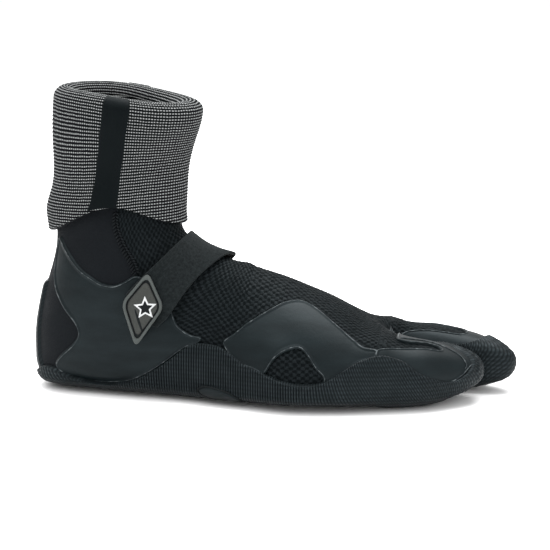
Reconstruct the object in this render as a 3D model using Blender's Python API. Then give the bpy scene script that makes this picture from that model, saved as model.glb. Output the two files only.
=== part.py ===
"""Split-toe neoprene surf boot, right foot, with a turned-down knit cuff and an instep strap.

Frame: +X to the toes, +Y to the inner (medial) side, +Z up. The origin is on the ground under the heel.
All outlines below are in millimetres; meshes are written in metres.
The boot's form is one function, level(points): 0 on the neoprene's outer face, negative inside,
positive outside, and close to the distance in millimetres. Every panel is a shell between two levels.
"""
import math

import bpy
import numpy as np
from mathutils import Matrix, Vector
from mathutils.geometry import delaunay_2d_cdt

MM = 0.001
LATERAL, MEDIAL = -1.0, 1.0

# ---------------------------------------------------------------- driving dimensions (mm)
SHAFT_TOP = 171.0          # top edge of the neoprene shaft
SHAFT_LEAN = 0.0875        # forward lean of the shaft, mm per mm of height
BEND_X, BEND_Z = 100.0, 112.0   # the section planes of the ankle turn about this line
FAN = 100.0                # chart length per radian of turn
NEOPRENE = 3.0             # thickness of the neoprene panels
GAP = 1.1                  # level of the overlays' inner face: clears the facets below
OVERLAY_TOP = 1.8          # outer level of the thin rubber overlays
TOE_JOIN = 178.0           # x where the two toe pockets start
CLEFT_Y = 16.0             # mid plane between the big toe and the small toes
CLEFT_HALF = 3.8           # neoprene stands this far from the mid plane
SOLE_INNER = 2.05          # level of the sole rubber's inner face
SOLE_SIDE, SOLE_UNDER = 3.3, 4.7   # outer level of the rubber on the side and under the foot
FLAT = 0.9                 # what is this close to the ground belongs to the flat of the sole
FOLD_Z = 171.5             # height where the cuff starts to turn over

# neoprene face seen from the side: (x, z), front of the shaft and top of the foot, then back and sole
RIDGE = [(59.4, 185), (58.6, 176), (53, 112), (53.6, 104), (56, 97), (63, 90.5), (76, 84), (88, 79.2),
         (100, 75.5), (107, 73), (120, 69), (132, 64.5), (144, 59.5), (156, 53.5), (168, 48.5), (180, 45.5),
         (195, 43)]
BACK = [(-13.6, 185), (-14.4, 176), (-20, 112), (-21, 101), (-21.5, 90), (-24.5, 76), (-28, 64), (-31, 51),
        (-33, 39), (-33.5, 26), (-32.5, 14), (-28, 6.6), (-18, 4.2), (0, 4), (30, 4), (60, 4), (86, 4), (100, 4),
        (112, 4), (140, 4), (168, 4), (184, 4), (195, 4.3)]
# section widths along the chart: station, lateral half width, medial half width, depth of the widest
# point, roundness of the front half, roundness of the back half
SECTIONS = [(-9, 25, 25, 77.8, 2.0, 2.0), (64, 25, 25, 83, 2.0, 2.0), (103, 30.5, 30.5, 92, 2.0, 2.1),
            (142, 32, 31, 105, 2.0, 2.6), (182, 33, 28, 90, 1.85, 3.8), (221, 42, 27, 91, 1.8, 4.4),
            (245, 48.5, 34, 91, 1.85, 4.4), (270, 46.5, 43, 91, 1.95, 4.2), (300, 38.5, 48, 92, 2.2, 4),
            (316, 34, 49, 92, 2.3, 4)]
# toe pockets: x, centre y, half width, centre z, height above centre, depth below centre
SMALL_TOES = [(165, -12.5, 30, 20, 30, 16), (178, -12.6, 27.4, 20, 24, 16), (186, -12.3, 24.8, 20, 20, 16), (205, -9, 21.2, 19, 16.5, 14.6),
              (220, -4, 17, 18, 14, 12), (235, 1, 14, 18, 13, 10)]
BIG_TOE = [(165, 29.5, 19, 20, 29, 16), (178, 31.5, 17, 20, 25, 16), (186, 34, 14.5, 20.5, 21, 16.3), (205, 34.5, 14.7, 21, 18.5, 16.5),
           (222, 33, 14, 21.5, 16, 15.5), (252, 26, 12, 22, 14, 12)]
SMALL_CAP = (205.0, 28.5)  # start and length of the rounded end
BIG_CAP = (221.0, 30.0)
TOE_ROUND, TIP_ROUND = 2.4, 2.5   # roundness of a toe pocket's section, and of its end


def curve(keys):
    """Smooth curve y(x) through the given (x, y) keys."""
    xs, ys = (np.array(column, float) for column in zip(*keys))
    slopes = np.gradient(ys, xs)

    def at(x):
        x = np.clip(x, xs[0], xs[-1])
        i = np.clip(np.searchsorted(xs, x) - 1, 0, len(xs) - 2)
        width = xs[i + 1] - xs[i]
        t = (x - xs[i]) / width
        return ((2 * t ** 3 - 3 * t ** 2 + 1) * ys[i] + (t ** 3 - 2 * t ** 2 + t) * width * slopes[i]
                + (3 * t ** 2 - 2 * t ** 3) * ys[i + 1] + (t ** 3 - t ** 2) * width * slopes[i + 1])
    return at


# ---------------------------------------------------------------- the chart: station s and angle phi
S_BEND = SHAFT_TOP + 5.0 - BEND_Z
S_FOOT = S_BEND + FAN * math.pi / 2


def station(x, z):
    """Station of the section plane through (x, z), and the depth of the point in that plane."""
    x, z = np.asarray(x, float), np.asarray(z, float)
    turn = np.arctan2(BEND_Z - z, BEND_X - x)
    shaft, foot = z >= BEND_Z, (x >= BEND_X) & (z < BEND_Z)
    s = np.where(shaft, S_BEND + BEND_Z - z, np.where(foot, S_FOOT + x - BEND_X, S_BEND + FAN * turn))
    depth = np.where(shaft, BEND_X - x, np.where(foot, BEND_Z - z, np.hypot(BEND_X - x, BEND_Z - z)))
    return s, depth


def plane(s):
    """Origin (x, z) and depth direction (x, z) of the section plane at station s."""
    turn = np.clip((s - S_BEND) / FAN, 0, math.pi / 2)
    origin = BEND_X + np.maximum(s - S_FOOT, 0), BEND_Z + np.maximum(S_BEND - s, 0)
    return origin, (-np.cos(turn), -np.sin(turn))


def depth_curve(profile):
    s, depth = station(*zip(*profile))
    return curve(list(zip(s, depth)))


FRONT, REAR = depth_curve(RIDGE), depth_curve(BACK)
HALF_LATERAL, HALF_MEDIAL, MIDDLE, ROUND_FRONT, ROUND_REAR = (
    curve([(row[0], row[k]) for row in SECTIONS]) for k in range(1, 6))
SMALL, BIG = ([curve([(row[0], row[k]) for row in rows]) for k in range(1, 6)]
              for rows in (SMALL_TOES, BIG_TOE))


def leg_level(p):
    """Signed distance-like value for the shaft and the foot, measured in the section planes."""
    s, depth = station(p[..., 0], p[..., 2])
    across, along = p[..., 1], depth - MIDDLE(s)
    half = np.where(across < 0, HALF_LATERAL(s), HALF_MEDIAL(s))
    reach = np.where(along < 0, MIDDLE(s) - FRONT(s), REAR(s) - MIDDLE(s))
    power = np.where(along < 0, ROUND_FRONT(s), ROUND_REAR(s))
    size = (np.abs(along / reach) ** power + np.abs(across / half) ** power) ** (1 / power)
    return np.hypot(along, across) * (1 - 1 / np.maximum(size, 1e-6))


def toe_level(p, shape, cap):
    """Signed distance-like value for one toe pocket with a rounded end."""
    x, start, length = p[..., 0], *cap
    centre_y, half, centre_z, above, below = (c(np.minimum(x, start + length)) for c in shape)
    across, up = p[..., 1] - centre_y, p[..., 2] - centre_z
    tall = np.where(up > 0, above, below)
    ring = (np.abs(across / half) ** TOE_ROUND + np.abs(up / tall) ** TOE_ROUND) ** (1 / TOE_ROUND)
    past = np.maximum(x - start, 0)
    size = (ring ** TIP_ROUND + (past / length) ** TIP_ROUND) ** (1 / TIP_ROUND)
    return np.sqrt(across ** 2 + up ** 2 + past ** 2) * (1 - 1 / np.maximum(size, 1e-6))


def ease(x, low, high):
    t = np.clip((x - low) / (high - low), 0, 1)
    return t * t * (3 - 2 * t)


def melt(a, b, width):
    """Smooth minimum of two levels."""
    mix = np.clip(0.5 + 0.5 * (b - a) / width, 0, 1)
    return b + (a - b) * mix - width * mix * (1 - mix)


def level(p):
    """Level of the whole boot: 0 on the neoprene's outer face."""
    x = p[..., 0]
    toes = melt(toe_level(p, SMALL, SMALL_CAP), toe_level(p, BIG, BIG_CAP), 12 - 10.5 * ease(x, 176, 192))
    share = ease(x, 162, 184)
    return leg_level(p) * (1 - share) + toes * share


def pocket_level(side):
    """Level of one toe pocket alone, cut off beside the mid plane of the cleft."""
    def at(p):
        wall = -side * (p[..., 1] - CLEFT_Y) + CLEFT_HALF
        return -melt(-level(p), -wall, 2.0)
    return at


def cast(origin, direction, target, field=level, reach=190.0):
    """Points where rays from inside the boot meet the given level."""
    near = np.zeros(origin.shape[:-1])
    far = np.full(origin.shape[:-1], reach)
    for _ in range(26):
        middle = (near + far) / 2
        outside = field(origin + middle[..., None] * direction) > target
        far = np.where(outside, middle, far)
        near = np.where(outside, near, middle)
    return origin + near[..., None] * direction


def body_ray(s, phi):
    """Middle of the section at station s, and the direction of angle phi in its plane."""
    (ox, oz), (ex, ez) = plane(s)
    depth = MIDDLE(s)
    origin = np.stack([ox + depth * ex, np.zeros_like(s), oz + depth * ez], -1)
    return origin, np.stack([-np.cos(phi) * ex, np.sin(phi), -np.cos(phi) * ez], -1)


def body_point(s, phi, target):
    """Point at chart position (s, phi) on a level. phi 0 is the front or top, +90 degrees medial."""
    s, phi = np.broadcast_arrays(np.asarray(s, float), np.asarray(phi, float))
    origin, direction = body_ray(s, phi)
    return cast(origin, direction, target)


# ---------------------------------------------------------------- mesh helpers
PIECES = {}


def material(name, colour, roughness):
    found = bpy.data.materials.get(name)
    if found:
        return found
    made = bpy.data.materials.new(name)
    made.use_nodes = True
    shader = made.node_tree.nodes["Principled BSDF"]
    shader.inputs["Base Color"].default_value = (*colour, 1.0)
    shader.inputs["Roughness"].default_value = roughness
    shader.inputs["Metallic"].default_value = 0.0
    return made


def make(name, points, faces, look):
    """One object from points in millimetres and a closed set of faces."""
    mesh = bpy.data.meshes.new(name)
    mesh.from_pydata([tuple(p) for p in np.asarray(points) * MM], [], faces)
    mesh.materials.append(material(*look))
    mesh.shade_smooth()
    mesh.set_sharp_from_angle(angle=math.radians(40))
    piece = bpy.data.objects.new(name, mesh)
    bpy.context.scene.collection.objects.link(piece)
    PIECES[name] = piece
    return piece


def set_origin(names, point):
    """Move the origin of moving pieces to a point (mm) on their joint's axis."""
    place = Vector(point) * MM
    for name in names:
        PIECES[name].data.transform(Matrix.Translation(-place))
        PIECES[name].location = place


def skin(inner, outer, triangles, rim):
    """Faces of a shell: outer triangles, inner triangles turned over, and a wall along the rim."""
    count = len(outer)
    faces = [tuple(t) for t in triangles]
    faces += [(c + count, b + count, a + count) for a, b, c in triangles]
    for a, b in rim:
        faces += [(b, a, a + count), (b, a + count, b + count)]
    return np.concatenate([outer, inner]), faces


def boundary(triangles):
    edges = {(t[k], t[(k + 1) % 3]) for t in triangles for k in range(3)}
    return [e for e in edges if (e[1], e[0]) not in edges]


def outward(points, faces):
    """Turn all faces over if the closed mesh is inside out."""
    volume = 0.0
    for a, b, c in faces:
        volume += np.dot(points[a], np.cross(points[b], points[c]))
    return faces if volume > 0 else [tuple(reversed(f)) for f in faces]


def grid_faces(rows, columns, wrap=False):
    faces = []
    for i in range(rows - 1):
        for j in range(columns if wrap else columns - 1):
            a, b = i * columns + j, i * columns + (j + 1) % columns
            faces += [(a, b, b + columns), (a, b + columns, a + columns)]
    return faces


def shell_from_grid(name, inner, outer, look, wrap=False):
    """Closed shell between two grids of points (rows, columns, 3)."""
    rows, columns = outer.shape[:2]
    triangles = grid_faces(rows, columns, wrap)
    points, faces = skin(inner.reshape(-1, 3), outer.reshape(-1, 3), triangles, boundary(triangles))
    return make(name, points, outward(points, faces), look)


def inside(points, loop):
    """Even-odd test of chart points against a closed loop."""
    hit = np.zeros(len(points), bool)
    for (ax, ay), (bx, by) in zip(loop, np.roll(loop, -1, axis=0)):
        crossing = (ay > points[:, 1]) != (by > points[:, 1])
        where = ax + (points[:, 1] - ay) * (bx - ax) / (by - ay + 1e-12)
        hit ^= crossing & (points[:, 0] < where)
    return hit


def clearance(points, loop):
    """Distance of chart points from a closed loop."""
    best = np.full(len(points), 1e9)
    for a, b in zip(loop, np.roll(loop, -1, axis=0)):
        t = np.clip(((points - a) @ (b - a)) / max((b - a) @ (b - a), 1e-9), 0, 1)
        best = np.minimum(best, np.linalg.norm(points - a - t[:, None] * (b - a), axis=1))
    return best


def rounded(points, spacing=6.0, closed=True):
    """Outline through the given points: straight runs resampled so that no edge is over the spacing."""
    out = []
    ends = points[1:] + points[:1] if closed else points[1:]
    for a, b in zip(points, ends):
        a, b = np.array(a, float), np.array(b, float)
        count = max(1, math.ceil(np.linalg.norm(b - a) / spacing))
        out += [a + (b - a) * k / count for k in range(count)]
    return np.array(out)


STEP = 10.0                # size of the panels' facets in the chart
RADIUS = 26 * STEP / (2 * math.pi)   # turns chart angles into millimetres: the facets meet after one turn


def patch(name, loop, low, high, look, step=STEP, point=body_point):
    """Panel over a closed chart outline, between two levels. Levels are numbers or f(s, phi)."""
    flat = np.array([(s, phi * RADIUS) for s, phi in loop])
    flat = rounded([tuple(p) for p in flat], step)
    lows, highs = np.floor(flat.min(0) / step), np.ceil(flat.max(0) / step)
    field = np.array([(i * step, (j + 0.5 * (i % 2)) * step) for i in range(int(lows[0]), int(highs[0]) + 1)
                      for j in range(int(lows[1]), int(highs[1]) + 1)])
    field = field[inside(field, flat)]
    field = field[clearance(field, flat) > 0.45 * step]
    every = [Vector(p) for p in np.concatenate([flat, field])]
    ring = list(range(len(flat)))
    spots, _, cells, *_ = delaunay_2d_cdt(every, [], [ring], 1, 1e-4)
    spots = np.array([tuple(v) for v in spots])
    triangles = [tuple(c) for c in cells]
    used = sorted({v for t in triangles for v in t})
    index = {v: k for k, v in enumerate(used)}
    triangles = [tuple(index[v] for v in t) for t in triangles]
    s, phi = spots[used, 0], spots[used, 1] / RADIUS
    levels = [np.broadcast_to(f(s, phi) if callable(f) else f, s.shape) for f in (low, high)]
    inner, outer = (point(s, phi, value) for value in levels)
    points, faces = skin(inner, outer, triangles, boundary(triangles))
    return make(name, points, outward(points, faces), look)


# ---------------------------------------------------------------- colours
NEOPRENE_LOOK = ("smooth_neoprene", (0.014, 0.015, 0.018), 0.75)
MESH_LOOK = ("air_mesh", (0.012, 0.014, 0.016), 0.85)
OVERLAY_LOOK = ("overlay_rubber", (0.022, 0.028, 0.029), 0.5)
SOLE_LOOK = ("sole_rubber", (0.018, 0.021, 0.023), 0.6)
KNIT_LOOK = ("striped_knit", (0.16, 0.16, 0.16), 0.9)
TAPE_LOOK = ("seam_tape", (0.008, 0.01, 0.01), 0.55)
STRAP_LOOK = ("strap_webbing", (0.03, 0.035, 0.036), 0.85)
BADGE_LOOK = ("badge_rubber", (0.07, 0.07, 0.068), 0.5)
RIM_LOOK = ("badge_frame_rubber", (0.11, 0.12, 0.115), 0.45)
EMBLEM_LOOK = ("emblem_print", (0.75, 0.75, 0.75), 0.5)
STITCH_LOOK = ("stitching", (0.012, 0.013, 0.015), 0.8)
FOOTBED_LOOK = ("footbed_foam", (0.03, 0.03, 0.032), 0.9)

# ---------------------------------------------------------------- panel lines: (station, degrees)
# Degrees run from 0 at the front or top of the foot to 180 at the back or under the sole.
# The lines are drawn for one side of the boot and used on both.
STATION_TOP = S_BEND + BEND_Z - SHAFT_TOP
STATION_TOES = S_FOOT + TOE_JOIN - BEND_X
FRONT_SEAM = [(STATION_TOP, 86), (50, 83), (72, 79), (86, 70), (103, 59), (114, 55), (135, 56), (160, 66),
              (173, 88)]
SOCK_EDGE = [(136, 180), (137, 166), (143, 154), (152, 143), (166, 127), (182, 119), (200, 116), (221, 113),
             (245, 111), (270, 112), (STATION_TOES, 113)]
RAND_TOP = [(131, 180), (132, 154), (140, 149), (147, 145), (159, 129), (164, 117), (168, 106), (171, 97),
            (178, 79), (184, 74), (192, 72), (201, 71), (210, 74), (219, 79), (232, 85), (240, 89), (257, 92.5),
            (268, 91), (276, 86), (283, 79), (290, 73), (STATION_TOES, 68)]
QUARTER_TOP = [(79, 155), (86, 138), (97, 118), (103, 106), (108, 96), (113, 80), (114, 68), (114, 57),
               (120, 48), (134, 42), (148, 41), (156, 47), (166, 59), (177, 67.5), (186, 69.5)]
QUARTER_REAR = [(131, 153), (128, 133), (126, 128), (122, 129), (112, 139), (102, 149), (90, 156)]
FOREFOOT_TOP = [(203, 67), (212, 57), (221, 50), (235, 39), (244, 31), (252, 27), (259, 29), (273, 42),
                (285, 55), (291, 61), (STATION_TOES, 63)]
WINDOW = [(269, 89), (264, 82), (260, 75), (255, 69), (249, 70), (241, 76), (236, 85)]
HEEL_STRIP = (100, 129.5, 15)          # stations of the top and bottom, half width in degrees
ARCH_PAD = [(194, 115), (197, 109), (204, 106), (213, 105.5), (219, 110), (221, 116), (218, 120), (208, 121.5),
            (198, 120)]
# strap edges: share of the way from the inner anchor to the free end, station, degrees (lateral is negative)
STRAP_UPPER = [(0, 121, 66), (0.12, 117, 52), (0.25, 112, 38), (0.36, 105, 22), (0.45, 101, 8), (0.52, 101, -8),
               (0.62, 105, -22), (0.74, 112, -38), (0.85, 117, -52), (1.0, 122, -68)]
STRAP_LOWER = [(0, 156, 62), (0.12, 156, 50), (0.25, 156, 36), (0.36, 160, 20), (0.45, 168, 6), (0.52, 162, -4),
               (0.62, 154, -18), (0.74, 153, -34), (0.85, 155, -50), (1.0, 154, -64)]
STRAP_CUTS = (0.0, 0.11, 0.50, 0.80, 1.0)   # anchor, over the instep, down the side, free end
STRAP_THICK = 1.7
STRAP_LOW, STRAP_HIGH = 2.3, 4.8            # level of its under side over the foot and over the fastener
BADGE = [(116, -48), (148, -48.5), (152, -86), (127, -75)]


def sided(line, side):
    """Chart points of a line given in degrees, for one side of the boot."""
    return [(s, side * math.radians(degrees)) for s, degrees in line]


def unrolled(line, side):
    """Like sided, but with angles counted on through the sole from the lateral side."""
    points = sided(line, side)
    return points if side < 0 else [(s, phi - 2 * math.pi) for s, phi in points]


def offset(line, ds=0.0, degrees=0.0):
    return [(s + ds, d + degrees) for s, d in line]


# ---------------------------------------------------------------- neoprene sock
def rear_panels():
    for side, name in ((LATERAL, "ankle_panel_lateral"), (MEDIAL, "ankle_panel_medial")):
        back = [(134.5, 179.75), (STATION_TOP, 179.75)]
        lower = [p for p in offset(SOCK_EDGE, -1.0) if 135 < p[0] < 172]
        loop = offset(FRONT_SEAM, 0, 0.3) + lower[::-1] + back
        patch(name, sided(loop, side), -NEOPRENE, 0.0, NEOPRENE_LOOK)


def instep_panel():
    lower = [(174.5, 119)] + [(s, d - 1.6) for s, d in SOCK_EDGE if s > 180]
    edge = offset(FRONT_SEAM, 0, -0.3) + lower
    loop = sided(edge, LATERAL) + sided(edge, MEDIAL)[::-1]
    patch("instep_mesh_panel", loop, -NEOPRENE, 0.0, MESH_LOOK)


def sock_bottom():
    edge = SOCK_EDGE[1:]
    loop = unrolled(SOCK_EDGE, LATERAL) + unrolled(edge, MEDIAL)[::-1]
    patch("sock_bottom", loop, -NEOPRENE, 0.0, NEOPRENE_LOOK)


def toe_ray(side, u, phi):
    """Ray to a toe pocket's face: u is x up to the rounded end, and then the way round to the tip."""
    shape, (start, length) = (SMALL, SMALL_CAP) if side < 0 else (BIG, BIG_CAP)
    u, phi = np.broadcast_arrays(np.asarray(u, float), np.asarray(phi, float))
    tilt = np.clip((u - start) / length, 0, 1) * math.pi / 2
    x = np.minimum(u, start)
    origin = np.stack([x, shape[0](x), shape[2](x)], -1)
    return origin, np.stack([np.sin(tilt), np.cos(tilt) * np.sin(phi), np.cos(tilt) * np.cos(phi)], -1)


def toe_point(side, u, phi, target):
    origin, direction = toe_ray(side, u, phi)
    return cast(origin, direction, target, pocket_level(side))


def toe_cup(name, side, low, high, look, angles=None, rows=(5, 6), columns=20, point=toe_point):
    """Shell round a toe pocket, closed at the tip. With angles it covers only that arc of the section."""
    start, length = SMALL_CAP if side < 0 else BIG_CAP
    straight = np.linspace(TOE_JOIN + 0.2, start, rows[0], endpoint=False)
    u = np.concatenate([straight, start + length * np.linspace(0, 1, rows[1] + 1)[:-1]])
    if angles is None:
        phi = np.linspace(-math.pi, math.pi, columns, endpoint=False)[None, :] + 0 * u[:, None]
    else:
        first, last = angles(u)
        phi = first[:, None] + (last - first)[:, None] * np.linspace(0, 1, columns)[None, :]
    wrap = angles is None
    triangles = grid_faces(len(u), columns, wrap)
    tip, last_row = len(u) * columns, (len(u) - 1) * columns
    for j in range(columns if wrap else columns - 1):
        triangles.append((last_row + j, last_row + (j + 1) % columns, tip))
    shells = []
    for target in (low, high):
        ring = point(side, u[:, None], phi, target).reshape(-1, 3)
        end = point(side, np.array([start + length]), np.array([0.0]), target)
        shells.append(np.concatenate([ring, end]))
    points, faces = skin(shells[0], shells[1], triangles, boundary(triangles))
    return make(name, points, outward(points, faces), look)


def footbed():
    """Flat foam insole that lies in the sock."""
    low, high, clear = 10.1, 11.9, -6.0
    x = -9.0 + 8.0 * np.sin(np.linspace(-math.pi / 2, 0, 5))
    x = np.concatenate([x, np.linspace(0, 171, 14)])
    middle = (HALF_MEDIAL(S_FOOT + x - BEND_X) - HALF_LATERAL(S_FOOT + x - BEND_X)) / 2 * (x > 40)
    origin = np.stack([x, middle, np.full_like(x, low)], -1)
    sides = [cast(origin, np.array([0.0, side, 0.0]) + 0 * origin, clear) for side in (LATERAL, MEDIAL)]
    across = np.linspace(0, 1, 6)[None, :, None]
    flat = sides[0][:, None] * (1 - across) + sides[1][:, None] * across
    top = flat.copy()
    top[..., 2] = high
    shell_from_grid("footbed", flat, top, FOOTBED_LOOK)


# ---------------------------------------------------------------- rubber sole and overlays
def sole_outer(z):
    """Outer level of the sole rubber: thin on the sides, thick near the ground."""
    return SOLE_SIDE + (SOLE_UNDER - SOLE_SIDE) * ease(-z, -7.0, -1.5)


def sole_inner(z):
    """Inner level of the sole rubber: further off the sock where the foot rounds under."""
    return SOLE_INNER + 1.1 * ease(-z, -16.0, -7.0)


def on_ground(origin, points):
    """Lengthen or shorten the rays that end near or under the ground so that they end on it."""
    near = points[..., 2] < FLAT
    share = np.where(near, origin[..., 2] / np.maximum(origin[..., 2] - points[..., 2], 1e-6), 1)
    moved = origin + (points - origin) * share[..., None]
    moved[..., 2] = np.where(near, 0.0, moved[..., 2])
    return moved


def sole_point(s, phi, target):
    """Point on the sole rubber: target 0 is its inner face, 1 its outer face."""
    s, phi = np.broadcast_arrays(np.asarray(s, float), np.asarray(phi, float))
    origin, direction = body_ray(s, phi)
    if np.mean(target) < 0.5:
        return cast(origin, direction, 0.0, lambda p: level(p) - sole_inner(p[..., 2]))
    return on_ground(origin, cast(origin, direction, 0.0, lambda p: level(p) - sole_outer(p[..., 2])))


def toe_sole_point(side, u, phi, target):
    """Point on the rubber round a toe: target 0 is its inner face, 1 its outer face."""
    origin, direction = toe_ray(side, u, phi)
    field = pocket_level(side)
    if target < 0.5:
        return cast(origin, direction, SOLE_INNER + 0.5, field)
    outer = cast(origin, direction, 0.0, lambda p: field(p) - sole_outer(p[..., 2]) - 0.2)
    return on_ground(origin, outer)


def outsole():
    loop = unrolled(offset(RAND_TOP, 0.0, 0.8), LATERAL) + unrolled(offset(RAND_TOP[1:], 0.0, 0.8), MEDIAL)[::-1]
    patch("outsole", loop, 0.0, 1.0, SOLE_LOOK, point=sole_point)


def toe_sole(name, side):
    """Sole rubber under and round one toe pocket. Its upper edge drops from the rand line to the tip."""
    outer, inner = (curve([(178, 66), (190, 70), (200, 84), (212, 96), (235, 92), (251, 90)]),
                    curve([(178, 110), (200, 108), (235, 96), (251, 90)]))

    def angles(u):
        first, last = (outer(u), inner(u)) if side < 0 else (inner(u), outer(u))
        return np.radians(-first), np.radians(last - 360.0)
    toe_cup(name, side, 0.0, 1.0, SOLE_LOOK, angles, columns=14, point=toe_sole_point)


def heel_strip():
    top, bottom, half = HEEL_STRIP
    loop = [(top, 180 - half), (bottom, 180 - half), (bottom, 180), (bottom, 180 + half), (top, 180 + half)]
    patch("heel_strip", sided(loop, LATERAL), 1.3, 2.6, SOLE_LOOK)


def quarter_overlay(name, side):
    rand = [(s, d) for s, d in offset(RAND_TOP, 0, -0.6) if 135 < s < 190]
    loop = QUARTER_TOP + rand[::-1] + QUARTER_REAR
    patch(name, sided(loop, side), GAP, OVERLAY_TOP, OVERLAY_LOOK)


def forefoot_overlay(name, side):
    rand = [(s, d) for s, d in offset(RAND_TOP, 0, -0.6) if s > 270]
    rear = [(s, d) for s, d in offset(RAND_TOP, 0, -0.6) if 205 < s < 235]
    loop = FOREFOOT_TOP + rand[::-1] + WINDOW + rear[::-1]
    patch(name, sided(loop, side), GAP, OVERLAY_TOP, OVERLAY_LOOK)


def arch_pad(name, side):
    patch(name, sided(ARCH_PAD, side), SOLE_SIDE + 1.3, SOLE_SIDE + 2.1, OVERLAY_LOOK, 7.0)


def seam_stitching(name, side):
    """Flatlock stitching over the seam between the rear panel and the instep panel."""
    seam = [(66, 80.5), (72, 79), (86, 70), (103, 59), (109, 57)]
    loop = offset(seam, 0, -2.8) + offset(seam, 0, 2.8)[::-1]
    patch(name, sided(loop, side), 0.5, 0.9, STITCH_LOOK, 6.0)


# ---------------------------------------------------------------- strap
def edge_curves(edge):
    return curve([(v, s) for v, s, _ in edge]), curve([(v, math.radians(d)) for v, _, d in edge])


def ribbon(name, first, last, low, high, look, rows, columns=5, side_trim=0.0):
    """Length of strap between two shares of its run; low and high are levels as functions of the share."""
    (us, up), (ls, lp) = edge_curves(STRAP_UPPER), edge_curves(STRAP_LOWER)
    v = np.linspace(first, last, rows)[:, None]
    w = np.linspace(side_trim, 1 - side_trim, columns)[None, :]
    s, phi = us(v) * (1 - w) + ls(v) * w, up(v) * (1 - w) + lp(v) * w
    inner, outer = (body_point(s, phi, f(v) + 0 * s) for f in (low, high))
    shell_from_grid(name, inner, outer, look)


def strap_under(v):
    """Level of the strap's under side along its run."""
    return STRAP_LOW + (STRAP_HIGH - STRAP_LOW) * ease(v, 0.55, 0.79)


def strap():
    half_gap = 0.0035
    names = ("strap_anchor", "strap_over", "strap_side", "strap_end")
    for name, first, last, rows in zip(names, STRAP_CUTS, STRAP_CUTS[1:], (4, 15, 10, 6)):
        ribbon(name, first + half_gap, last - half_gap, strap_under,
               lambda v: strap_under(v) + STRAP_THICK, STRAP_LOOK, rows)
    ribbon("anchor_stitching", 0.02, 0.09, lambda v: strap_under(v) + STRAP_THICK + 0.3,
           lambda v: strap_under(v) + STRAP_THICK + 0.7, STITCH_LOOK, 3, 4, 0.1)
    ribbon("hook_pad", 0.83, 0.98, lambda v: 3.4 + 0 * v, lambda v: 4.1 + 0 * v, STRAP_LOOK, 4, 4, 0.08)
    ribbon("loop_patch", 0.82, 0.99, lambda v: 2.2 + 0 * v, lambda v: 2.8 + 0 * v, STRAP_LOOK, 4, 4, 0.04)


def bend(v):
    """Middle of the line across the strap's outer face on which it bends at share v of its run."""
    (us, up), (ls, lp) = edge_curves(STRAP_UPPER), edge_curves(STRAP_LOWER)
    return body_point((us(v) + ls(v)) / 2, (up(v) + lp(v)) / 2, strap_under(v) + STRAP_THICK)


# ---------------------------------------------------------------- badge at the strap's end
BADGE_LOW, BADGE_THICK = 7.0, 1.8


def rhombus(shrink, corner, per_corner=5):
    """Rhombus loop in chart millimetres, moved in by shrink, with its corners rounded by corner (mm)."""
    flat = [np.array((s, math.radians(d) * RADIUS)) for s, d in BADGE]
    centre = sum(flat) / 4
    flat = [centre + (p - centre) * (1 - shrink / np.linalg.norm(p - centre)) for p in flat]
    loop = []
    for k, tip in enumerate(flat):
        before, after = flat[k - 1], flat[(k + 1) % 4]
        enter = tip + (before - tip) * corner / np.linalg.norm(before - tip)
        leave = tip + (after - tip) * corner / np.linalg.norm(after - tip)
        for t in np.linspace(0, 1, per_corner):
            loop.append(enter * (1 - t) ** 2 + 2 * tip * t * (1 - t) + leave * t ** 2)
    return np.array(loop)


def badge():
    outer, inner = rhombus(0.0, 5.0), rhombus(3.6, 4.0)
    middle = rhombus(1.8, 4.5)
    rings = np.stack([outer, middle, inner])
    low, high = (body_point(rings[..., 0], rings[..., 1] / RADIUS, d)
                 for d in (BADGE_LOW, BADGE_LOW + BADGE_THICK))
    shell_from_grid("badge_frame", low, high, RIM_LOOK, wrap=True)
    plate = [(s, y / RADIUS) for s, y in rhombus(5.0, 3.6)]
    patch("badge_plate", plate, BADGE_LOW, BADGE_LOW + 1.2, BADGE_LOOK, 7.0)
    top = BADGE_LOW + 1.5
    flat = [np.array((s, math.radians(d) * RADIUS)) for s, d in BADGE]
    centre = sum(flat) / 4
    shares = ((2, 0.74), (2, 0.62), (3, 0.40), (3, 0.52))
    bar = [centre + share * (flat[k] - centre) for k, share in shares]
    patch("badge_bar", [(s, y / RADIUS) for s, y in bar], top, top + 0.5, RIM_LOOK, 6.0)
    star = []
    for k in range(6):
        reach, turn = (5.6, 2.6)[k % 2], k * math.pi / 3 + 0.35
        star.append((centre[0] - 1 + reach * math.cos(turn), (centre[1] + 2 + reach * math.sin(turn)) / RADIUS))
    patch("badge_emblem", star, top, top + 0.5, EMBLEM_LOOK, 6.0)


# ---------------------------------------------------------------- cuff
SHAFT_AXIS_X = 16.0        # x of the shaft's axis at the height BEND_Z
CUFF_THICK = 3.4
CUFF_COLUMNS = 28


def shaft_point(z, phi, target):
    """Point on a level at height z, in a level plane, phi measured from the front."""
    z, phi = np.broadcast_arrays(np.asarray(z, float), np.asarray(phi, float))
    origin = np.stack([SHAFT_AXIS_X + (z - BEND_Z) * SHAFT_LEAN, 0 * z, z], -1)
    direction = np.stack([np.cos(phi), np.sin(phi), 0 * z], -1)
    return cast(origin, direction, target)


def cuff_bottom(phi):
    """Height of the turned-down edge: lowest at the back, higher on the sides."""
    return 107.25 - 7.75 * np.cos(2 * phi) + 3.5 * np.cos(phi)


def cuff_inner(z):
    """Level of the flap's inner face: it hugs the ankle and stands off towards the fold."""
    return 1.1 + 3.0 * ease(z, 104, 168)


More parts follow.
